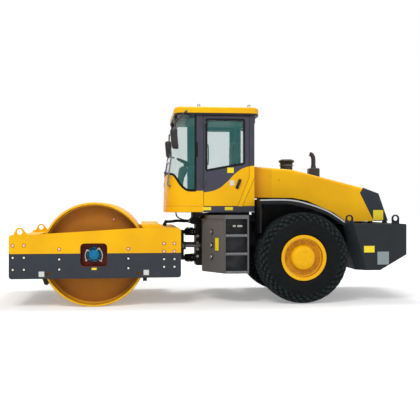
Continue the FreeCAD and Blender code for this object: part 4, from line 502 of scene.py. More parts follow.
NODE_MATERIALS = {
    "yellow": "cab_front_panel frame_crossbeams corner_panel_left corner_panel_right",
    "side_plate": "side_plate_left side_plate_right",
    "door": "door_left door_right",
    "cab_frame": "cab_frame",
    "rim": "rim_left rim_right",
    "roof": "cab_roof",
    "hood": "hood",
    "dark": "cab_floor rear_grille",
    "scraper": "scrapers",
    "black": "rear_frame rear_axle centre_yoke oscillation_bearing steering_barrel_left "
             "steering_barrel_right hose_gland",
    "primer": "drum_mounts",
    "weight": "counterweight",
    "box": "step_box_left step_box_right box_cover_left box_cover_right",
    "fender": "fender_left fender_right",
    "disc": "drum_discs",
    "drum": "drum_shell",
    "blue": "vibration_motors",
    "tyre": "tyre_left tyre_right",
    "plastic": "pre_cleaner work_lamps mirror_left mirror_right steering_wheel seat_base",
    "trim": "steering_column",
    "rod": "steering_rod_left steering_rod_right",
    "handrail": "grab_handle_left grab_handle_right",
    "exhaust": "exhaust_stack",
    "iron": "engine_block",
    "glass": "windscreen rear_window door_glass_left door_glass_right",
    "seat": "seat_cushions",
}


def dress_nodes():
    for key, names in NODE_MATERIALS.items():
        for name in names.split():
            NODES[name].data.materials.clear()
            NODES[name].data.materials.append(MATERIALS[key])


# Mesh helpers: a Shape gathers many small parts that become one piece

class Shape:
    def __init__(self):
        self.verts, self.faces = [], []

    def skin(self, loops, close_start=True, close_end=True):
        """Skin a list of closed loops with the same count of points."""
        first, count = len(self.verts), len(loops[0])
        for loop in loops:
            self.verts.extend(loop)
        for row in range(len(loops) - 1):
            low, high = first + row * count, first + (row + 1) * count
            for i in range(count):
                j = (i + 1) % count
                self.faces.append((low + i, low + j, high + j, high + i))
        if close_start:
            self.faces.append(tuple(reversed(range(first, first + count))))
        if close_end:
            last = first + (len(loops) - 1) * count
            self.faces.append(tuple(range(last, last + count)))

    def lathe(self, centre, axis, profile, count=24):
        """Turn a profile of (radius, height along the axis) about an axis."""
        u, v = basis(axis)
        axis = axis.normalized()
        loops = []
        for radius, height in profile:
            loops.append([centre + axis * height + (u * math.cos(a) + v * math.sin(a)) * radius
                          for a in circle(count)])
        self.skin(loops)

    def bolt(self, centre, axis, size):
        """Washer, hexagon head with a chamfered top and the thread's end."""
        self.lathe(centre, axis, [(size * 1.15, 0), (size * 1.15, size * 0.16), (size * 1.08, size * 0.2)], 20)
        self.lathe(centre + axis.normalized() * size * 0.2, axis,
                   [(size * 0.95, 0), (size * 0.95, size * 0.5), (size * 0.84, size * 0.62)], 6)
        self.lathe(centre + axis.normalized() * size * 0.78, axis, [(size * 0.42, 0), (size * 0.42, size * 0.2),
                                                                    (size * 0.34, size * 0.26)], 12)

    def slab(self, centre, u, v, wide, tall, thick, corner=0.004, bevel=0.001):
        """Rounded plate lying on a face: its back at the centre, standing out along u x v."""
        u, v = u.normalized(), v.normalized()
        out = u.cross(v)
        loops = []
        for inset, height in ((0, 0), (0, thick - bevel), (bevel, thick)):
            loop = []
            half_w, half_t = wide / 2 - inset, tall / 2 - inset
            radius = max(min(corner, half_w, half_t) - inset * 0.5, 0.0002)
            for turn, (su, sv) in enumerate(((1, 1), (-1, 1), (-1, -1), (1, -1))):
                mid = centre + u * su * (half_w - radius) + v * sv * (half_t - radius)
                for step in range(5):
                    a = math.pi / 2 * (turn + step / 4)
                    loop.append(mid + (u * math.cos(a) + v * math.sin(a)) * radius + out * height)
            loops.append(loop)
        self.skin(loops)

    def panel(self, centre, side, *sizes):
        """Rounded plate lying on a face that looks to the left or right."""
        self.slab(centre, ALONG, UP * -side, *sizes)

    def tube(self, path, radius, count=12, closed_ends=True):
        """Round tube along a list of points, with steady frames."""
        path = [Vector(p) for p in path]
        tangents = []
        for i in range(len(path)):
            before, after = path[max(i - 1, 0)], path[min(i + 1, len(path) - 1)]
            tangents.append((after - before).normalized())
        u, v = basis(tangents[0])
        loops = []
        for i, point in enumerate(path):
            if i:
                turn = tangents[i - 1].rotation_difference(tangents[i])
                u, v = turn @ u, turn @ v
            width = radius(i / (len(path) - 1)) if callable(radius) else radius
            loops.append([point + (u * math.cos(a) + v * math.sin(a)) * width
                          for a in circle(count)])
        self.skin(loops, closed_ends, closed_ends)

    def ribbon(self, path, out, wide, thick, closed=False):
        """Flat band with rounded edges along a path; out is one normal or one per point."""
        loops, count = [], len(path)
        for i, point in enumerate(path):
            before = path[i - 1] if closed else path[max(i - 1, 0)]
            after = path[(i + 1) % count] if closed else path[min(i + 1, count - 1)]
            normal = out[i] if isinstance(out, list) else out
            across = normal.cross(after - before).normalized()
            loops.append([point + across * wide * a + normal * thick * b for a, b in (
                (-0.5, -0.3), (-0.5, 0.5), (-0.42, 0.88), (-0.25, 1), (0.25, 1), (0.42, 0.88), (0.5, 0.5),
                (0.5, -0.3))])
        if closed:
            loops.append(loops[0])
        self.skin(loops, not closed, not closed)

    def object(self, name, material, smooth=35):
        mesh = bpy.data.meshes.new(name)
        mesh.from_pydata([tuple(v) for v in self.verts], [], self.faces)
        work = bmesh.new()
        work.from_mesh(mesh)
        bmesh.ops.remove_doubles(work, verts=work.verts, dist=1e-6)
        bmesh.ops.recalc_face_normals(work, faces=work.faces)
        work.to_mesh(mesh)
        work.free()
        obj = bpy.data.objects.new(name, mesh)
        bpy.context.scene.collection.objects.link(obj)
        mesh.materials.append(MATERIALS[material] if isinstance(material, str) else material)
        if smooth:
            mesh.shade_smooth()
            mesh.set_sharp_from_angle(angle=math.radians(smooth))
        return obj


def basis(axis):
    """Two unit vectors across an axis."""
    axis = axis.normalized()
    side = UP if abs(axis.z) < 0.9 else ALONG
    u = side.cross(axis).normalized()
    return u, axis.cross(u)


def smooth_path(points, steps=8):
    """Catmull-Rom line through points."""
    points = [Vector(p) for p in points]
    line = []
    for i in range(len(points) - 1):
        p0, p1 = points[max(i - 1, 0)], points[i]
        p2, p3 = points[i + 1], points[min(i + 2, len(points) - 1)]
        for step in range(steps):
            t = step / steps
            line.append(0.5 * ((2 * p1) + (p2 - p0) * t + (2 * p0 - 5 * p1 + 4 * p2 - p3) * t * t
                               + (3 * p1 - p0 - 3 * p2 + p3) * t ** 3))
    line.append(points[-1])
    return line


def rounded_path(corners, radius, steps=6):
    """Closed line through corners, each rounded."""
    line = []
    for i, corner in enumerate(corners):
        before, after = corners[i - 1], corners[(i + 1) % len(corners)]
        start = corner + (before - corner).normalized() * radius
        end = corner + (after - corner).normalized() * radius
        for step in range(steps + 1):
            t = step / steps
            line.append(start * (1 - t) ** 2 + corner * 2 * t * (1 - t) + end * t * t)
    return line


def put(shape, name, material, body, smooth=35):
    obj = shape.object(name, material, smooth)
    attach(obj, body)
    return obj


# Camera

def camera():
    data = bpy.data.cameras.new("photo_camera")
    data.lens = 58.354
    data.sensor_width = 36
    data.clip_end = 300
    cam = bpy.data.objects.new("photo_camera", data)
    bpy.context.scene.collection.objects.link(cam)
    yaw, pitch, roll = -0.1038, -0.0060, -0.0009
    look = Vector((-math.sin(yaw) * math.cos(pitch), math.cos(yaw) * math.cos(pitch), math.sin(pitch)))
    right = Vector((math.cos(yaw), math.sin(yaw), 0))
    up = right.cross(look)
    rolled = right * math.cos(roll) + up * math.sin(roll)
    upright = up * math.cos(roll) - right * math.sin(roll)
    cam.matrix_world = Matrix.Translation(Vector((-1.1705, -11.5958, 1.5431))) @ Matrix(
        (rolled, upright, -look)).transposed().to_4x4()
    bpy.context.scene.camera = cam


# Hoses

JOINT_HOSE = [(-0.704, 0, 1.276), (-0.630, 0, 1.276), (-0.525, 0, 1.293), (-0.415, 0, 1.284), (-0.308, 0, 1.284)]
CAB_HOSE = [(-0.549, -0.06, 1.440), (-0.549, -0.06, 1.384), (-0.503, -0.06, 1.336), (-0.403, -0.06, 1.300),
            (-0.308, -0.06, 1.300)]


def route_line(name, points):
    """Points along the NURBS line of a hose's route."""
    curve = bpy.data.curves.new(name, "CURVE")
    curve.dimensions = "3D"
    spline = curve.splines.new("NURBS")
    spline.points.add(len(points) - 1)
    for point, place in zip(spline.points, points):
        point.co = (*place, 1)
    spline.order_u = 3
    spline.use_endpoint_u = True
    spline.resolution_u = 24
    holder = bpy.data.objects.new(name, curve)
    bpy.context.scene.collection.objects.link(holder)
    bpy.context.view_layer.update()
    mesh = bpy.data.meshes.new_from_object(holder)
    line = [vert.co.copy() for vert in mesh.vertices]
    bpy.data.objects.remove(holder)
    bpy.data.curves.remove(curve)
    bpy.data.meshes.remove(mesh)
    return line


def hoses():
    """The joint's wrapped hose bundle and the cab's return hose, each a tube along its own line."""
    line = route_line("joint_route", JOINT_HOSE)
    sleeve = Shape()
    sleeve.tube(line, lambda share: 0.0236 + 0.0004 * math.sin(share * 330), 28)
    sleeve = sleeve.object("joint_hose_sleeve", "hose")
    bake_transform(sleeve)
    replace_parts(sleeve, "joint_hose")
    line = route_line("cab_route", CAB_HOSE)
    tube = Shape()
    tube.tube(line, 0.011, 20)
    tube = tube.object("cab_hose_tube", "hose")
    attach(tube, "rear_frame")
    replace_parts(tube, "cab_hose")


# Front frame

PLATE_BOLTS = [(-1200, 950), (-1036, 950), (-1200, 767), (-1036, 767), (-1200, 587), (-1036, 587),
               (-515, 891), (-515, 737), (-515, 585), (521, 891), (521, 742), (521, 595),
               (1065, 968), (1223, 968), (1065, 847), (1223, 847), (1065, 728), (1223, 728),
               (1065, 610), (1223, 610)]


def front_frame_details():
    bolts, black, washer_shade_on_yellow = Shape(), Shape(), Shape()
    for side in BOTH:
        for along, up in PLATE_BOLTS:
            place = at(along, side * PLATE_FACE, up) - outward(side) * 0.001
            # Dark rings round the bolt heads are painted shade: brown-orange on the yellow plate, near-black on the
            # grey below the paint line.
            washer = [(0.028, 0), (0.028, 0.0025), (0.0265, 0.003)]
            (washer_shade_on_yellow if up > 826 else black).lathe(place, outward(side), washer, 28)
            head = [(0.0175, 0), (0.0175, 0.0035), (0.0155, 0.0045)]
            bolts.lathe(place + outward(side) * 0.003, outward(side), head, 6)
    put(bolts, "side_plate_bolts", "bright", "front_frame")
    put(black, "side_plate_washer_shade_grey", "seal", "front_frame")
    put(washer_shade_on_yellow, "side_plate_washer_shade_yellow", "rust", "front_frame")

    stickers = Shape()
    for side in BOTH:
        for along, up in ((-778, 517), (792, 527)):
            stickers.panel(at(along, side * PLATE_FACE, up), side, 0.082, 0.080, 0.002)
    put(stickers, "tie_point_stickers", "sticker_white", "front_frame")
    marks = Shape()
    for side in BOTH:
        marks.panel(at(5, side * PLATE_FACE, 590), side, 0.075, 0.034, 0.002)
    put(marks, "motor_stickers", "sticker_yellow", "front_frame")

    pipes, collars, heads, rotor = Shape(), Shape(), Shape(), Shape()
    for side in BOTH:
        for first, last, reach in ((136, 214, 128), (58, -38, 134)):
            arc = [math.radians(first + (last - first) * step / 10) for step in range(11)]
            path = [at(-6 + reach * math.cos(a), side * (1086 + 8 * math.sin(2 * a)), 786 + reach * math.sin(a))
                    for a in arc]
            start = path[0].lerp(at(-6, side * 1040, 786), 0.3)
            end = at(-6 + 70 * math.cos(arc[-1]), side * 1030, 786 + 70 * math.sin(arc[-1]))
            path = smooth_path([start, *path, end], 4)
            pipes.tube(path, 0.009, 14)
            for index in (5, len(path) - 8):
                axis = (path[index + 1] - path[index]).normalized()
                collars.lathe(path[index], axis, [(0.011, 0), (0.015, 0.002), (0.015, 0.024), (0.011, 0.026)], 6)
        for angle in circle(8):
            angle += math.pi / 8
            heads.bolt(at(102 * math.cos(angle), side * 985.5, 800 + 102 * math.sin(angle)), outward(side), 0.009)
        loops = []
        for share, y in ((1, 1040), (1, 1070), (0.93, 1082), (0.55, 1084), (0.5, 1090), (0.42, 1094)):
            lobes = 0.16 * min(1, max(0, (share - 0.5) * 4))
            loop = []
            for a in circle(84):
                radius = 78 * share * (1 - lobes + lobes * abs(math.cos(3.5 * a)) ** 0.7)
                loop.append(at(-2 + radius * math.cos(a), side * y, 800 + radius * math.sin(a)))
            loops.append(loop)
        rotor.skin(loops)
    put(pipes, "motor_pipes", "steel", "front_frame")
    put(collars, "motor_pipe_nuts", "zinc", "front_frame")
    put(heads, "motor_bolts", "exhaust", "front_frame")
    put(rotor, "motor_caps", "blue", "front_frame")


def drum_details():
    plugs = Shape()
    for side in BOTH:
        plugs.lathe(at(292, side * DISC_FACE, 1333), outward(side), [(0.028, 0), (0.028, 0.004), (0.024, 0.006)], 28)
        for angle in circle(16):
            plugs.bolt(at(118 * math.cos(angle), side * 935, 800 + 118 * math.sin(angle)), outward(side), 0.011)
    put(plugs, "drum_bolts", "rust", "drum")
    fill = Shape()
    for side in BOTH:
        fill.lathe(at(292, side * 882, 1333), outward(side), [(0.013, 0), (0.013, 0.003), (0.011, 0.004)], 6)
    put(fill, "drum_fill_plugs", "bright", "drum")
    welds = Shape()
    for side in BOTH:
        ring = [at(764 * math.cos(a), side * 877, 800 + 764 * math.sin(a))
                for a in (2 * math.pi * i / 96 for i in range(97))]
        welds.tube(ring, lambda share: 0.009 + 0.0012 * math.sin(share * 700), 8)
    put(welds, "drum_weld_beads", "disc", "drum")


# Centre joint

def joint_details():
    caps = Shape()
    for height, direction in ((1103 + 58, 1), (667 - 58, -1)):
        axis = UP * direction
        caps.lathe(at(1540, 0, height), axis, [(0.062, 0), (0.062, 0.010), (0.056, 0.014)], 32)
        for angle in circle(6):
            caps.bolt(at(1540 + 46 * math.cos(angle), 46 * math.sin(angle), height + 13 * direction), axis, 0.008)
    put(caps, "pivot_pin_caps", "zinc", "centre_yoke")

    bolts = Shape()
    for side in BOTH:
        out = Vector((0.57, side * 0.82, 0))
        for up in (1087, 1126, 666, 700):
            bolts.bolt(at(1585, side * 74, up) - out * 0.004, out, 0.016)
    put(bolts, "yoke_bolts", "zinc", "centre_yoke")
    neck = Shape()
    for side in BOTH:
        for along, up in ((1664, 918), (1664, 817), (1664, 1040), (1664, 700)):
            neck.bolt(at(along, side * 190, up), outward(side), 0.021)
    put(neck, "neck_bolts", "zinc", "rear_frame")
    rings = Shape()
    rings.lathe(at(1546, 0, 1284), -ALONG, [(0.026, 0), (0.034, 0), (0.034, 0.022), (0.0265, 0.024)], 32)
    rings.lathe(at(1546, -60, 1300), -ALONG, [(0.012, 0), (0.019, 0), (0.019, 0.03), (0.0125, 0.032)], 6)
    put(rings, "hose_flanges", "zinc", "rear_frame")


# Rear frame and steps

def steps():
    """Bright serrated edges on the steps, grip studs behind them, hooks in the top compartment."""
    edges, studs, hooks = Shape(), Shape(), Shape()
    for side in BOTH:
        y = side * 1120
        for level in (524, 809, 1094):
            for number in range(6):
                first = 2031 + 54.5 * number
                profile = [(first, level - 20), (first, level + 3), (first + 5, level + 9), (first + 17, level + 9),
                           (first + 21, level + 4), (first + 27, level + 4), (first + 31, level + 9),
                           (first + 43, level + 9), (first + 48, level + 3), (first + 48, level - 20)]
                edges.skin([[at(a, y - side * 20, z) for a, z in profile],
                            [at(a, y + side, z) for a, z in profile],
                            [at(a, y + side * 4, z - (2 if z > level else -2)) for a, z in profile]])
            for row in range(3):
                for number in range(9):
                    studs.lathe(at(2042 + 37 * number, side * (1080 - 42 * row), level), UP,
                                [(0.011, 0), (0.009, 0.004), (0.005, 0.0045)], 12)
        for along, wide in ((2180, 0.05), (2268, 0.085)):
            hooks.panel(at(along, side * 931, 1225), side, wide, 0.036, 0.012, 0.008, 0.003)
    put(edges, "step_edges", "handrail", "rear_frame")
    put(studs, "step_studs", "dark", "rear_frame")
    put(hooks, "step_hooks", "steel", "rear_frame")


def box_details():
    """Latches and a blank sticker on the slanted covers of the side boxes."""
    latches, bases, stickers = Shape(), Shape(), Shape()
    for side in BOTH:
        along = Vector((0.5547, 0.8321 * side, 0))
        out = Vector((-0.8321, 0.5547 * side, 0))
        upright = along.cross(UP).dot(out) > 0
        first, second = (along, UP) if upright else (UP, along)
        start = at(1700, side * 640, 0) + out * 0.013
        for height in (1.135, 0.920, 0.738):
            centre = start + along * 0.577 * 0.44 + UP * height
            wide, tall = (0.05, 0.085) if upright else (0.085, 0.05)
            bases.slab(centre, first, second, wide, tall, 0.006, 0.024, 0.003)
            latches.lathe(centre + out * 0.006, out, [(0.017, 0), (0.017, 0.008), (0.012, 0.013)], 20)
            latches.slab(centre + out * 0.018, first, second, wide * 0.32, tall * 0.7, 0.006, 0.007, 0.002)
        wide, tall = (0.085, 0.2) if upright else (0.2, 0.085)
        stickers.slab(start + along * 0.577 * 0.66 + UP * 0.94, first, second, wide, tall, 0.002)
    put(bases, "cover_latch_seats", "plastic", "rear_frame")
    put(latches, "cover_latches", "steel", "rear_frame")
    put(stickers, "cover_stickers", "sticker_yellow", "rear_frame")


def weight_details():
    plates, stickers, tail, amber = Shape(), Shape(), Shape(), Shape()
    for side in BOTH:
        stickers.panel(at(4340, side * WEIGHT_SIDE, 850), side, 0.173, 0.104, 0.002)
        plates.panel(at(4569, side * WEIGHT_SIDE, 706), side, 0.19, 0.206, 0.003, 0.006)
        tail.slab(at(WEIGHT_REAR, side * 800, 1120), ACROSS, UP, 0.16, 0.08, 0.005, 0.012, 0.002)
        amber.slab(at(WEIGHT_REAR, side * 930, 1120), ACROSS, UP, 0.08, 0.08, 0.005, 0.012, 0.002)
        stickers.panel(at(4640, side * HOOD_SIDE, 1388), side, 0.172, 0.168, 0.003, 0.01)
    put(stickers, "counterweight_stickers", "sticker_yellow", "rear_frame")
    put(plates, "counterweight_plates", "sticker_grey", "rear_frame")
    put(tail, "tail_lamps", "red_lens", "rear_frame")
    put(amber, "turn_lamps", "amber_lens", "rear_frame")
    plate = Shape()
    plate.slab(at(WEIGHT_REAR, 0, 1000), ACROSS, UP, 0.34, 0.14, 0.003, 0.01)
    put(plate, "rear_plate_blank", "sticker_white", "rear_frame")


FENDER_LINE = [(2562, 1646), (3029, 1646), (3339, 1583), (3656, 1465), (3920, 1298)]


def fender_details():
    """Light edge strip and lower sill lip beside the black wheel arch."""
    strips = Shape()
    for side in BOTH:
        path = smooth_path([at(along, side * 1110, up - 14) for along, up in FENDER_LINE], 10)
        strips.ribbon(path, outward(side), 0.022, 0.005)
        sill = [at(along, side * CAB_SIDE, 1447) for along in (2436, 2480, 2523)]
        strips.ribbon(sill, outward(side), 0.013, 0.004)
    put(strips, "fender_strips", "silver", "rear_frame")


def hood_details():
    locks, clamps = Shape(), Shape()
    for side in BOTH:
        for along, up in ((2965, 1967), (2815, 2032)):
            locks.lathe(at(along, side * 619, up), outward(side),
                        [(0.012, 0), (0.012, 0.004), (0.008, 0.006), (0.004, 0.006)], 24)
    put(locks, "hood_locks", "crease", "hood")
    clamps.lathe(at(3222, 0, 2232), UP, [(0.118, 0), (0.121, 0.002), (0.121, 0.018), (0.118, 0.02)], 48)
    put(clamps, "pre_cleaner_clamp", "rod", "hood")
    slats = Shape()
    for number in range(11):
        up = 1362 + 30 * number
        slats.slab(at(4726, 0, up), ACROSS, Vector((-0.5, 0, 0.866)), 0.94, 0.026, 0.006, 0.004, 0.002)
    put(slats, "rear_louvres", "black", "hood")


def exhaust():
    """Exhaust with a rounded base and a smoothly bent pipe with capped ends, and a near-black disc on its end as
    painted shade for the open mouth.
    """
    shape = Shape()
    low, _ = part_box("exhaust_stack")
    centre = Vector(((at(3700, 0, 0).x), 0, low[2]))
    shape.slab(centre, ALONG, ACROSS, 0.184, 0.190, at(0, 0, 2196).z - low[2], 0.022, 0.014)
    line = smooth_path([at(3700, 0, 2180), at(3700, 0, 2260), at(3700, 0, 2330), at(3696, 0, 2376), at(3683, 0, 2413),
                        at(3662, 0, 2435), at(3638, 0, 2443)], 6)
    shape.tube(line, 0.038, 28)
    ring = line[6]
    shape.lathe(Vector((ring.x, 0, at(0, 0, 2192).z)), UP,
                [(0.052, 0), (0.052, 0.012), (0.044, 0.02), (0.044, 0.05), (0.038, 0.052)], 28)
    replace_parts(put(shape, "exhaust_pipe", "exhaust", "hood"), "exhaust_stack")
    # Near-black disc on the pipe's capped end: painted shade for the open mouth.
    mouth_shade = Shape()
    lean = (line[-1] - line[-2]).normalized()
    mouth_shade.lathe(line[-1] - lean * 0.01, lean, [(0.032, 0), (0.032, 0.0106), (0.0318, 0.0108)], 28)
    put(mouth_shade, "exhaust_mouth_painted_shade", "seal", "hood")


def under_cab():
    """Brackets and a cable bundle between the cab's floor and the side boxes."""
    rails = Shape()
    for side in BOTH:
        rails.slab(at(2185, side * 640, 1401), ALONG, ACROSS, 0.40, 0.10, 0.036, 0.008, 0.003)
        rails.slab(at(1668, side * 520, 1366), ALONG, ACROSS, 0.09, 0.12, 0.07, 0.008, 0.003)
        rails.panel(at(2529, side * 628, 1365), side, 0.05, 0.15, 0.05, 0.008, 0.003)
    put(rails, "cab_brackets", "black", "rear_frame")
    bundle = Shape()
    for side in BOTH:
        for shift in (0, 26, 50):
            path = [at(1640, side * (560 - shift), 1425 - shift * 0.3), at(1760, side * (600 - shift), 1408),
                    at(1900, side * (610 - shift), 1412 - shift * 0.2), at(2010, side * (600 - shift), 1424)]
            bundle.tube(smooth_path(path, 6), 0.011, 10)
    put(bundle, "cab_cable_bundle", "hose", "rear_frame")


# Seat and the cab's inside

def pad_form(name, centre, size, power=5.0):
    """Rounded closed pad on a fine even grid."""
    work = bmesh.new()
    bmesh.ops.create_cube(work, size=2)
    bmesh.ops.subdivide_edges(work, edges=work.edges, cuts=23, use_grid_fill=True)
    for vert in work.verts:
        d = vert.co.normalized()
        reach = (abs(d.x) ** power + abs(d.y) ** power + abs(d.z) ** power) ** (-1 / power)
        vert.co = centre + Vector((d.x * size[0] / 2, d.y * size[1] / 2, d.z * size[2] / 2)) * reach
    mesh = bpy.data.meshes.new(name)
    work.to_mesh(mesh)
    work.free()
    obj = bpy.data.objects.new(name, mesh)
    bpy.context.scene.collection.objects.link(obj)
    return obj


def with_modifier(obj, kind, **settings):
    """Add a modifier, apply its result to the mesh, and drop it."""
    modifier = obj.modifiers.new(kind.lower(), kind)
    for key, value in settings.items():
        setattr(modifier, key, value)
    view = bpy.context.evaluated_depsgraph_get()
    mesh = bpy.data.meshes.new_from_object(obj.evaluated_get(view))
    obj.modifiers.clear()
    old = obj.data
    obj.data = mesh
    bpy.data.meshes.remove(old)


def puff(obj, pressure, cap):
    """Swell a closed pad by cloth pressure, each point held within a cap of its start."""
    start = [vert.co.copy() for vert in obj.data.vertices]
    cloth = obj.modifiers.new("cloth", "CLOTH")
    cloth.settings.use_pressure = True
    cloth.settings.uniform_pressure_force = pressure
    cloth.settings.effector_weights.gravity = 0
    cloth.settings.quality = 5
    cloth.point_cache.frame_start = 1
    cloth.point_cache.frame_end = 20
    scene = bpy.context.scene
    for number in range(1, 21):
        scene.frame_set(number)
    view = bpy.context.evaluated_depsgraph_get()
    moved = [vert.co.copy() for vert in obj.evaluated_get(view).data.vertices]
    obj.modifiers.clear()
    scene.frame_set(1)
    for vert, first, last in zip(obj.data.vertices, start, moved):
        step = last - first
        vert.co = first + (step * (cap / step.length) if step.length > cap else step)


def channels(obj, axis, places, depth, wide):
    """Sewn channels: points near each line sink along their normal."""
    normals = [vert.normal.copy() for vert in obj.data.vertices]
    for vert, normal in zip(obj.data.vertices, normals):
        for place in places:
            off = vert.co[axis] - place
            if abs(off) < 3 * wide:
                vert.co -= normal * depth * math.exp(-(off / wide) ** 2)


def seat():
    """Seat cushion and high back, swelled by cloth simulation, with sewn channels."""
    pads = []
    for name, centre, size, axis, lines in (
            ("seat_pad", at(2050, 0, 2015), (0.336, 0.474, 0.090), 1, (-0.13, 0.13)),
            ("seat_back_pad", at(2295, 0, 2335), (0.090, 0.436, 0.612), 2, (2.19, 2.34, 2.49))):
        pad = pad_form(name, centre, size)
        with_modifier(pad, "REMESH", mode="VOXEL", voxel_size=0.0075)
        puff(pad, 4, 0.009)
        with_modifier(pad, "SUBSURF", levels=1)
        channels(pad, axis, lines, 0.007, 0.007)
        pad.data.materials.clear()
        pad.data.materials.append(MATERIALS["seat"])
        pad.data.shade_smooth()
        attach(pad, "rear_frame")
        pads.append(pad)
    for pad in pads:
        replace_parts(pad, "seat_cushions")


def column():
    """Slim moulded steering column that swells to a foot and to a binnacle below the wheel."""
    loops = []
    for middle, up, half_long, half_wide, lean in (
            (1392, 1497, 92, 108, 0), (1390, 1530, 84, 100, 0), (1384, 1600, 62, 80, 0), (1378, 1760, 54, 64, 0),
            (1382, 1920, 50, 58, 0.1), (1396, 2030, 54, 70, 0.2), (1420, 2110, 66, 92, 0.35), (1440, 2160, 68, 94, 0.47),
            (1454, 2188, 52, 72, 0.47), (1466, 2208, 26, 28, 0.47), (1469, 2214, 22, 24, 0.47)):
        loop = []
        for step in range(40):
            a = 2 * math.pi * step / 40
            x = math.copysign(abs(math.cos(a)) ** 0.6, math.cos(a)) * half_long
            y = math.copysign(abs(math.sin(a)) ** 0.6, math.sin(a)) * half_wide
            loop.append(at(middle + x, y, up - x * lean))
        loops.append(loop)
    shape = Shape()
    shape.skin(loops)
    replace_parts(put(shape, "steering_console", "trim", "rear_frame", 50), "steering_column")


def cab_inside():
    """Arm rests, side consoles with levers, display and grab rails."""
    body, knobs, rails = Shape(), Shape(), Shape()
    for side in BOTH:
        body.slab(at(2030, side * 345, 1500), ALONG, ACROSS, 0.50, 0.15, 0.46, 0.03, 0.02)
        body.slab(at(2120, side * 300, 2150), ALONG, ACROSS, 0.30, 0.07, 0.04, 0.03, 0.012)
        body.panel(at(2236, side * 276, 2090), side, 0.05, 0.13, 0.02, 0.01, 0.004)
    lever = [at(1930, 345, 1955), at(1922, 345, 2040), at(1900, 340, 2120)]
    knobs.tube(smooth_path(lever, 6), 0.009, 10)
    knobs.lathe(at(1897, 339, 2112), Vector((-0.2, 0, 0.98)),
                [(0.012, 0), (0.024, 0.012), (0.026, 0.04), (0.016, 0.06), (0.006, 0.064)], 20)
    knobs.lathe(at(1930, 345, 1955), UP,
                [(0.045, 0), (0.043, 0.012), (0.030, 0.02), (0.022, 0.034), (0.014, 0.04)], 24)
    for number in range(5):
        knobs.lathe(at(2020 + 34 * number, 330, 1960), UP, [(0.011, 0), (0.011, 0.006), (0.008, 0.009)], 12)
    put(body, "cab_consoles", "plastic", "rear_frame")
    put(knobs, "cab_levers", "seal", "rear_frame")
    for name, side in SIDES.items():
        rail = Shape()
        rail.tube(smooth_path([at(1778, side * 776, 2205), at(1786, side * 745, 2225), at(1790, side * 742, 2380),
                               at(1786, side * 745, 2500), at(1778, side * 776, 2520)], 6), 0.0095, 12)
        put(rail, f"door_rail_{name}", "plastic", f"door_{name}")
    liner = Shape()
    liner.slab(at(1950, 0, 2962), ALONG, ACROSS, 0.90, 1.30, 0.014, 0.05, 0.006)
    put(liner, "cab_roof_liner", "trim", "rear_frame")
    for side in BOTH:
        rails.panel(at(1603, side * CAB_SIDE, 2440), side, 0.022, 0.23, 0.008, 0.008, 0.002)
    put(rails, "post_grips", "seal", "rear_frame")


# Cab

SCREEN_LINE = [(1132, 2063), (1190, 2050), (1235, 2031), (1282, 1966), (1330, 1890), (1385, 1830), (1443, 1793),
               (1500, 1785), (1585, 1784)]


def cab_wall(along, up, side):
    """Point and outward normal on the cab's wrap-round front."""
    front = 1112 + 23 * (up - 1440) / 632 if up < 2072 else 1135 + 192 * (up - 2072) / 913
    if along >= front + 300:
        return at(along, side * CAB_SIDE, up), outward(side)
    near = min(max(front + 300 - along, 0), 300)
    wide = math.sqrt(300 ** 2 - near ** 2)
    return at(front + 300 - near, side * (520 + wide), up), Vector((-near / 300, side * wide / 300, 0))


def screen_trim():
    """Black band round the windscreen: its curved lower edge and both posts."""
    band = Shape()
    half = {}
    for side in BOTH:
        line = smooth_path([Vector((a, 0, z)) for a, z in SCREEN_LINE], 6)
        half[side] = [cab_wall(p.x, p.z + 5, side) for p in line]
    middle = [cab_wall(1100, 2072, LEFT)[0]]
    front = [(Vector((middle[0].x, y / 1000, middle[0].z)), Vector((-1, 0, 0))) for y in range(-480, 481, 80)]
    points = list(reversed(half[LEFT])) + front + half[RIGHT]
    band.ribbon([p for p, _ in points], [n for _, n in points], 0.036, 0.007)
    for side in BOTH:
        band.ribbon([at(1577, side * CAB_SIDE, up) for up in (1790, 2200, 2600, 2984)], outward(side), 0.032, 0.005)
    put(band, "windscreen_band", "seal", "rear_frame")


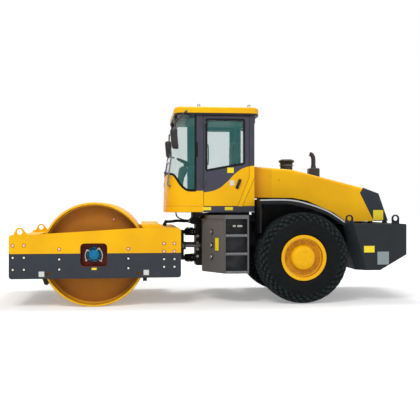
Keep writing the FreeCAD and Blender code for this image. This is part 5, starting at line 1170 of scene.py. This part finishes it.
def cab_details():
    for name, side in SIDES.items():
        shape = Shape()
        corners = [at(1750, side * CAB_SIDE, 2108), at(2355, side * CAB_SIDE, 2219), at(2355, side * CAB_SIDE, 2920),
                   at(1750, side * CAB_SIDE, 2920)]
        shape.ribbon(rounded_path(corners, 0.018, 4), outward(side), 0.034, 0.006, closed=True)
        put(shape, f"door_seal_{name}", "seal", f"door_{name}")

        handle = Shape()
        low, high = at(2233, side * CAB_SIDE, 1813), at(2298, side * CAB_SIDE, 1973)
        direction = (high - low).normalized()
        across = direction.cross(outward(side)).normalized()
        first, second = (direction, across) if direction.cross(across).dot(outward(side)) > 0 else (across, direction)
        wide, tall = (0.17, 0.05) if first is direction else (0.05, 0.17)
        handle.slab(low.lerp(high, 0.5), first, second, wide, tall, 0.006, 0.02, 0.003)
        grip = smooth_path([low.lerp(high, 0.12), low.lerp(high, 0.2) + outward(side) * 0.03,
                            low.lerp(high, 0.5) + outward(side) * 0.036, low.lerp(high, 0.8) + outward(side) * 0.03,
                            low.lerp(high, 0.9)])
        handle.tube(grip, 0.012)
        put(handle, f"door_handle_{name}", "plastic", f"door_{name}")
        lock = Shape()
        lock.panel(at(2161, side * CAB_SIDE, 1909), side, 0.07, 0.08, 0.003, 0.01)
        put(lock, f"door_lock_plate_{name}", "sticker_white", f"door_{name}")
        mark = Shape()
        mark.panel(at(2137, side * CAB_SIDE, 2112), side, 0.105, 0.085, 0.002)
        put(mark, f"door_sticker_{name}", "sticker_yellow", f"door_{name}")
    band = Shape()
    for side in BOTH:
        for along in (1760, 2110):
            band.panel(at(along, side * CAB_SIDE, 1500), side, 0.13, 0.052, 0.002)
    put(band, "sill_stickers", "sticker_yellow", "rear_frame")

    eyes = Shape()
    for side in BOTH:
        for along in (1640, 2455):
            ring = [at(along + 19 * math.cos(a), side * 690, 3155 + 19 * math.sin(a))
                    for a in (2 * math.pi * i / 24 for i in range(25))]
            eyes.tube(ring, 0.007, 10)
            eyes.lathe(at(along, side * 690, 3112), UP, [(0.016, 0), (0.016, 0.014), (0.008, 0.018), (0.008, 0.026)], 16)
    put(eyes, "roof_eye_bolts", "handrail", "rear_frame")

    # Front crease: a thin darker-orange band, painted shade in the panel's fold.
    crease = Shape()
    places = (1690, 1600, 1500, 1420, 1370, 1320, 1270, 1220, 1180, 1150, 1130, 1118)
    points = [cab_wall(along, 1541, LEFT) for along in places]
    end = points[-1][0]
    points += [(Vector((end.x, y / 1000, end.z)), Vector((-1, 0, 0))) for y in range(-420, 421, 120)]
    points += [cab_wall(along, 1541, RIGHT) for along in reversed(places)]
    crease.ribbon([p for p, _ in points], [n for _, n in points], 0.007, 0.0025)
    put(crease, "cab_front_crease", "crease", "rear_frame")

    heads, glasses, wipers = Shape(), Shape(), Shape()
    for side in BOTH:
        loops = []
        for along, wide, tall in ((1277, 184, 296), (1275, 196, 308), (1252, 200, 312), (1212, 194, 306), (1186, 172, 286),
                                  (1174, 134, 248)):
            loop = []
            for turn, (sy, sz) in enumerate(((1, 1), (-1, 1), (-1, -1), (1, -1))):
                for step in range(5):
                    a = math.pi / 2 * (turn + step / 4)
                    rise = sz * (tall / 2 - 32) + 32 * math.sin(a)
                    loop.append(at(along - rise * 0.09, side * 1045 + sy * (wide / 2 - 32) + 32 * math.cos(a),
                                   2585 + rise))
            loops.append(loop)
        heads.skin(loops)
        glasses.slab(at(1277, side * 1045, 2585), ACROSS, UP + ALONG * -0.09, 0.168, 0.280, 0.002, 0.024)
    put(heads, "mirror_housings", "plastic", "rear_frame")
    put(glasses, "mirror_faces", "mirror", "rear_frame")

    foot = cab_wall(1100, 2110, LEFT)[0]
    pivot = Vector((foot.x - 0.012, 0.12, 2.108))
    lean = 0.192 / 0.913
    arm = [pivot, pivot + Vector((lean * 0.3 - 0.012, -0.10, 0.3)), pivot + Vector((lean * 0.62 - 0.004, -0.22, 0.62))]
    wipers.tube(smooth_path(arm, 8), 0.007, 10)
    blade = [pivot + Vector((lean * h - 0.006, -0.22 * h / 0.62 - 0.03, h)) for h in (0.22, 0.45, 0.68, 0.90)]
    wipers.tube(smooth_path(blade, 6), 0.008, 8)
    wipers.lathe(pivot + Vector((0.012, 0, 0)), -ALONG, [(0.03, 0), (0.03, 0.02), (0.02, 0.03)], 20)
    put(wipers, "windscreen_wiper", "plastic", "rear_frame")


# Wheels

TYRE_PROFILE = [(0.2132, 0.3640), (0.236, 0.380), (0.250, 0.415), (0.257, 0.465), (0.2598, 0.520),
                (0.2590, 0.575), (0.2545, 0.625), (0.2450, 0.664), (0.2290, 0.693), (0.2060, 0.7095),
                (0.1720, 0.7185), (0.1200, 0.7225), (0.0600, 0.7245), (0.0, 0.7250)]


def profile_line(points, step):
    """Smooth line through profile points with even spacing."""
    line = smooth_path([Vector((a, b, 0)) for a, b in points], 12)
    spaced, carry = [line[0]], 0.0
    for start, end in zip(line, line[1:]):
        length = (end - start).length
        while carry + length >= step:
            share = (step - carry) / length
            start = start.lerp(end, share)
            length = (end - start).length
            spaced.append(start.copy())
            carry = 0.0
        carry += length
    return spaced


def groove_depth(turn, across, radius):
    """Tread of slanted diamond blocks: two families of wavy grooves, one of them deeper."""
    if radius < 0.575:
        return 0.0
    around = turn * 36 / (2 * math.pi)
    wave = 0.10 * math.sin(4 * math.pi * around)
    first = abs((across / 0.094 + around + wave) % 1 - 0.5) * 2
    second = abs((across / 0.094 - around + 0.5 * wave) % 1 - 0.5) * 2
    main = smoothstep(0.60, 0.78, first)
    cross = 0.85 * smoothstep(0.68, 0.84, second)
    return 0.028 * max(main, cross) * smoothstep(0.575, 0.61, radius)


def smoothstep(low, high, value):
    share = min(max((value - low) / (high - low), 0), 1)
    return share * share * (3 - 2 * share)


def tyre(name, side):
    half = profile_line(TYRE_PROFILE, 0.0115)
    rows = [(p.x, p.y) for p in half] + [(-p.x, p.y) for p in reversed(half[:-1])]
    centre = at(3260, side * 885, 725)
    count = 680
    verts, faces, depths = [], [], []
    length = [0.0]
    for (x0, r0), (x1, r1) in zip(rows, rows[1:]):
        length.append(length[-1] + math.hypot(x1 - x0, r1 - r0))
    middle = length[-1] / 2
    for i in range(count):
        turn = 2 * math.pi * i / count
        for (across, radius), run in zip(rows, length):
            deep = groove_depth(turn, run - middle, radius)
            depths.append(deep / 0.028)
            slope = smoothstep(0.725, 0.66, radius)
            r = radius - deep * (1 - 0.55 * slope)
            shift = across - math.copysign(deep * 0.8 * slope, across)
            verts.append((centre.x + r * math.sin(turn), centre.y + shift * -side, centre.z - r * math.cos(turn)))
    n = len(rows)
    for i in range(count):
        j = (i + 1) % count
        for k in range(n - 1):
            faces.append((i * n + k, j * n + k, j * n + k + 1, i * n + k + 1))
    for i in range(count):
        turn = 2 * math.pi * i / count
        for across in (rows[0][0], rows[-1][0]):
            verts.append((centre.x + 0.3205 * math.sin(turn), centre.y + across * -side,
                          centre.z - 0.3205 * math.cos(turn)))
    base = count * n
    for i in range(count):
        j = (i + 1) % count
        faces.append((base + 2 * i, base + 2 * j, j * n, i * n))
        faces.append((i * n + n - 1, j * n + n - 1, base + 2 * j + 1, base + 2 * i + 1))
        faces.append((base + 2 * j, base + 2 * i, base + 2 * i + 1, base + 2 * j + 1))
    mesh = bpy.data.meshes.new(name)
    mesh.from_pydata(verts, [], faces)
    work = bmesh.new()
    work.from_mesh(mesh)
    bmesh.ops.recalc_face_normals(work, faces=work.faces)
    work.to_mesh(mesh)
    work.free()
    # Groove depth, stored for the tyre material, which paints the grooves near-black as painted shade.
    groove_painted_shade = mesh.attributes.new("groove_painted_shade", "FLOAT", "POINT")
    groove_painted_shade.data.foreach_set("value", depths + [0.0] * (len(verts) - len(depths)))
    mesh.materials.append(MATERIALS["tyre"])
    mesh.shade_smooth()
    mesh.set_sharp_from_angle(angle=math.radians(50))
    obj = bpy.data.objects.new(name, mesh)
    bpy.context.scene.collection.objects.link(obj)
    return obj


def wheels():
    for name, side in SIDES.items():
        obj = tyre(f"tread_tyre_{name}", side)
        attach(obj, f"wheel_{name}")
        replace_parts(obj, f"tyre_{name}")
        nuts = Shape()
        disc = side * (885 + 223.6 - 84)
        for number in range(12):
            angle = math.radians(30 * number)
            nuts.bolt(at(3260 + 242 * math.cos(angle), disc, 725 + 242 * math.sin(angle)), outward(side), 0.014)
        # Nuts in darker orange: painted shade round them in the rim's recess.
        put(nuts, f"wheel_nuts_{name}", "crease", f"wheel_{name}")
        plug = Shape()
        face = disc + side * 92
        for number in range(6):
            angle = math.radians(60 * number + 15)
            plug.bolt(at(3260 + 100 * math.cos(angle), face, 725 + 100 * math.sin(angle)), outward(side), 0.008)
        plug.lathe(at(3260, face, 725), outward(side), [(0.03, 0), (0.03, 0.006), (0.024, 0.01), (0.012, 0.011)], 24)
        put(plug, f"hub_plug_{name}", "rim", f"wheel_{name}")


# Stage

def floor_material():
    n = Nodes("studio_floor")
    n.set(color=n.mix(n.patches(0.8, 3, 0.3, 0.7), (0.86, 0.86, 0.86, 1), (0.88, 0.88, 0.88, 1)), rough=0.9)
    path = n.add("ShaderNodeLightPath")
    glow = n.add("ShaderNodeEmission")
    glow.inputs["Color"].default_value = (1, 1, 1, 1)
    seen = n.math("MAXIMUM", path.outputs["Is Camera Ray"], path.outputs["Is Transmission Ray"])
    seen = n.math("MAXIMUM", seen, path.outputs["Is Glossy Ray"])
    along, across, _ = n.split()
    away = n.math("SQRT", n.math("ADD", n.times(along, along), n.times(across, across)))
    n.tree.links.new(n.times(seen, n.ramp(away, 3.5, 11, 0.27, 0.80)), glow.inputs["Strength"])
    both = n.add("ShaderNodeAddShader")
    n.tree.links.new(n.shader.outputs["BSDF"], both.inputs[0])
    n.tree.links.new(glow.outputs["Emission"], both.inputs[1])
    n.tree.links.new(both.outputs["Shader"], n.output.inputs["Surface"])
    return n.material


def stage():
    mesh = bpy.data.meshes.new("studio_floor")
    size = 60
    mesh.from_pydata([(-size, -size, 0), (size, -size, 0), (size, size, 0), (-size, size, 0)], [], [(0, 1, 2, 3)])
    floor = bpy.data.objects.new("studio_floor", mesh)
    bpy.context.scene.collection.objects.link(floor)
    mesh.materials.append(floor_material())

    world = bpy.data.worlds.new("studio")
    bpy.context.scene.world = world
    world.use_nodes = True
    tree = world.node_tree
    background = tree.nodes["Background"]
    path = tree.nodes.new("ShaderNodeLightPath")
    seen = tree.nodes.new("ShaderNodeMath")
    seen.operation = "MAXIMUM"
    tree.links.new(path.outputs["Is Camera Ray"], seen.inputs[0])
    tree.links.new(path.outputs["Is Transmission Ray"], seen.inputs[1])
    gloss = tree.nodes.new("ShaderNodeMath")
    gloss.operation = "MAXIMUM"
    tree.links.new(seen.outputs[0], gloss.inputs[0])
    tree.links.new(path.outputs["Is Glossy Ray"], gloss.inputs[1])
    level = tree.nodes.new("ShaderNodeMapRange")
    tree.links.new(gloss.outputs[0], level.inputs["Value"])
    level.inputs["To Min"].default_value = 0.45
    level.inputs["To Max"].default_value = 1.0
    tree.links.new(level.outputs["Result"], background.inputs["Strength"])
    background.inputs["Color"].default_value = (1, 1, 1, 1)

    for name, place, aim, size, power in (
            ("key", (-4, -9, 10), (0, 0, 1), 4, 720),
            ("fill", (8, -8, 5), (0, 0, 1), 6, 160),
            ("top", (1, 2, 10), (0, 0, 0), 4, 530)):
        light = bpy.data.lights.new(name, "AREA")
        light.size = size
        light.energy = power
        lamp = bpy.data.objects.new(name, light)
        lamp.location = place
        lamp.rotation_euler = (Vector(aim) - Vector(place)).to_track_quat("-Z", "Y").to_euler()
        bpy.context.scene.collection.objects.link(lamp)


camera()
hoses()
dress_nodes()
front_frame_details()
drum_details()
joint_details()
steps()
box_details()
weight_details()
fender_details()
hood_details()
exhaust()
under_cab()
seat()
column()
cab_inside()
screen_trim()
cab_details()
wheels()
stage()
bpy.context.scene.view_settings.view_transform = "Standard"
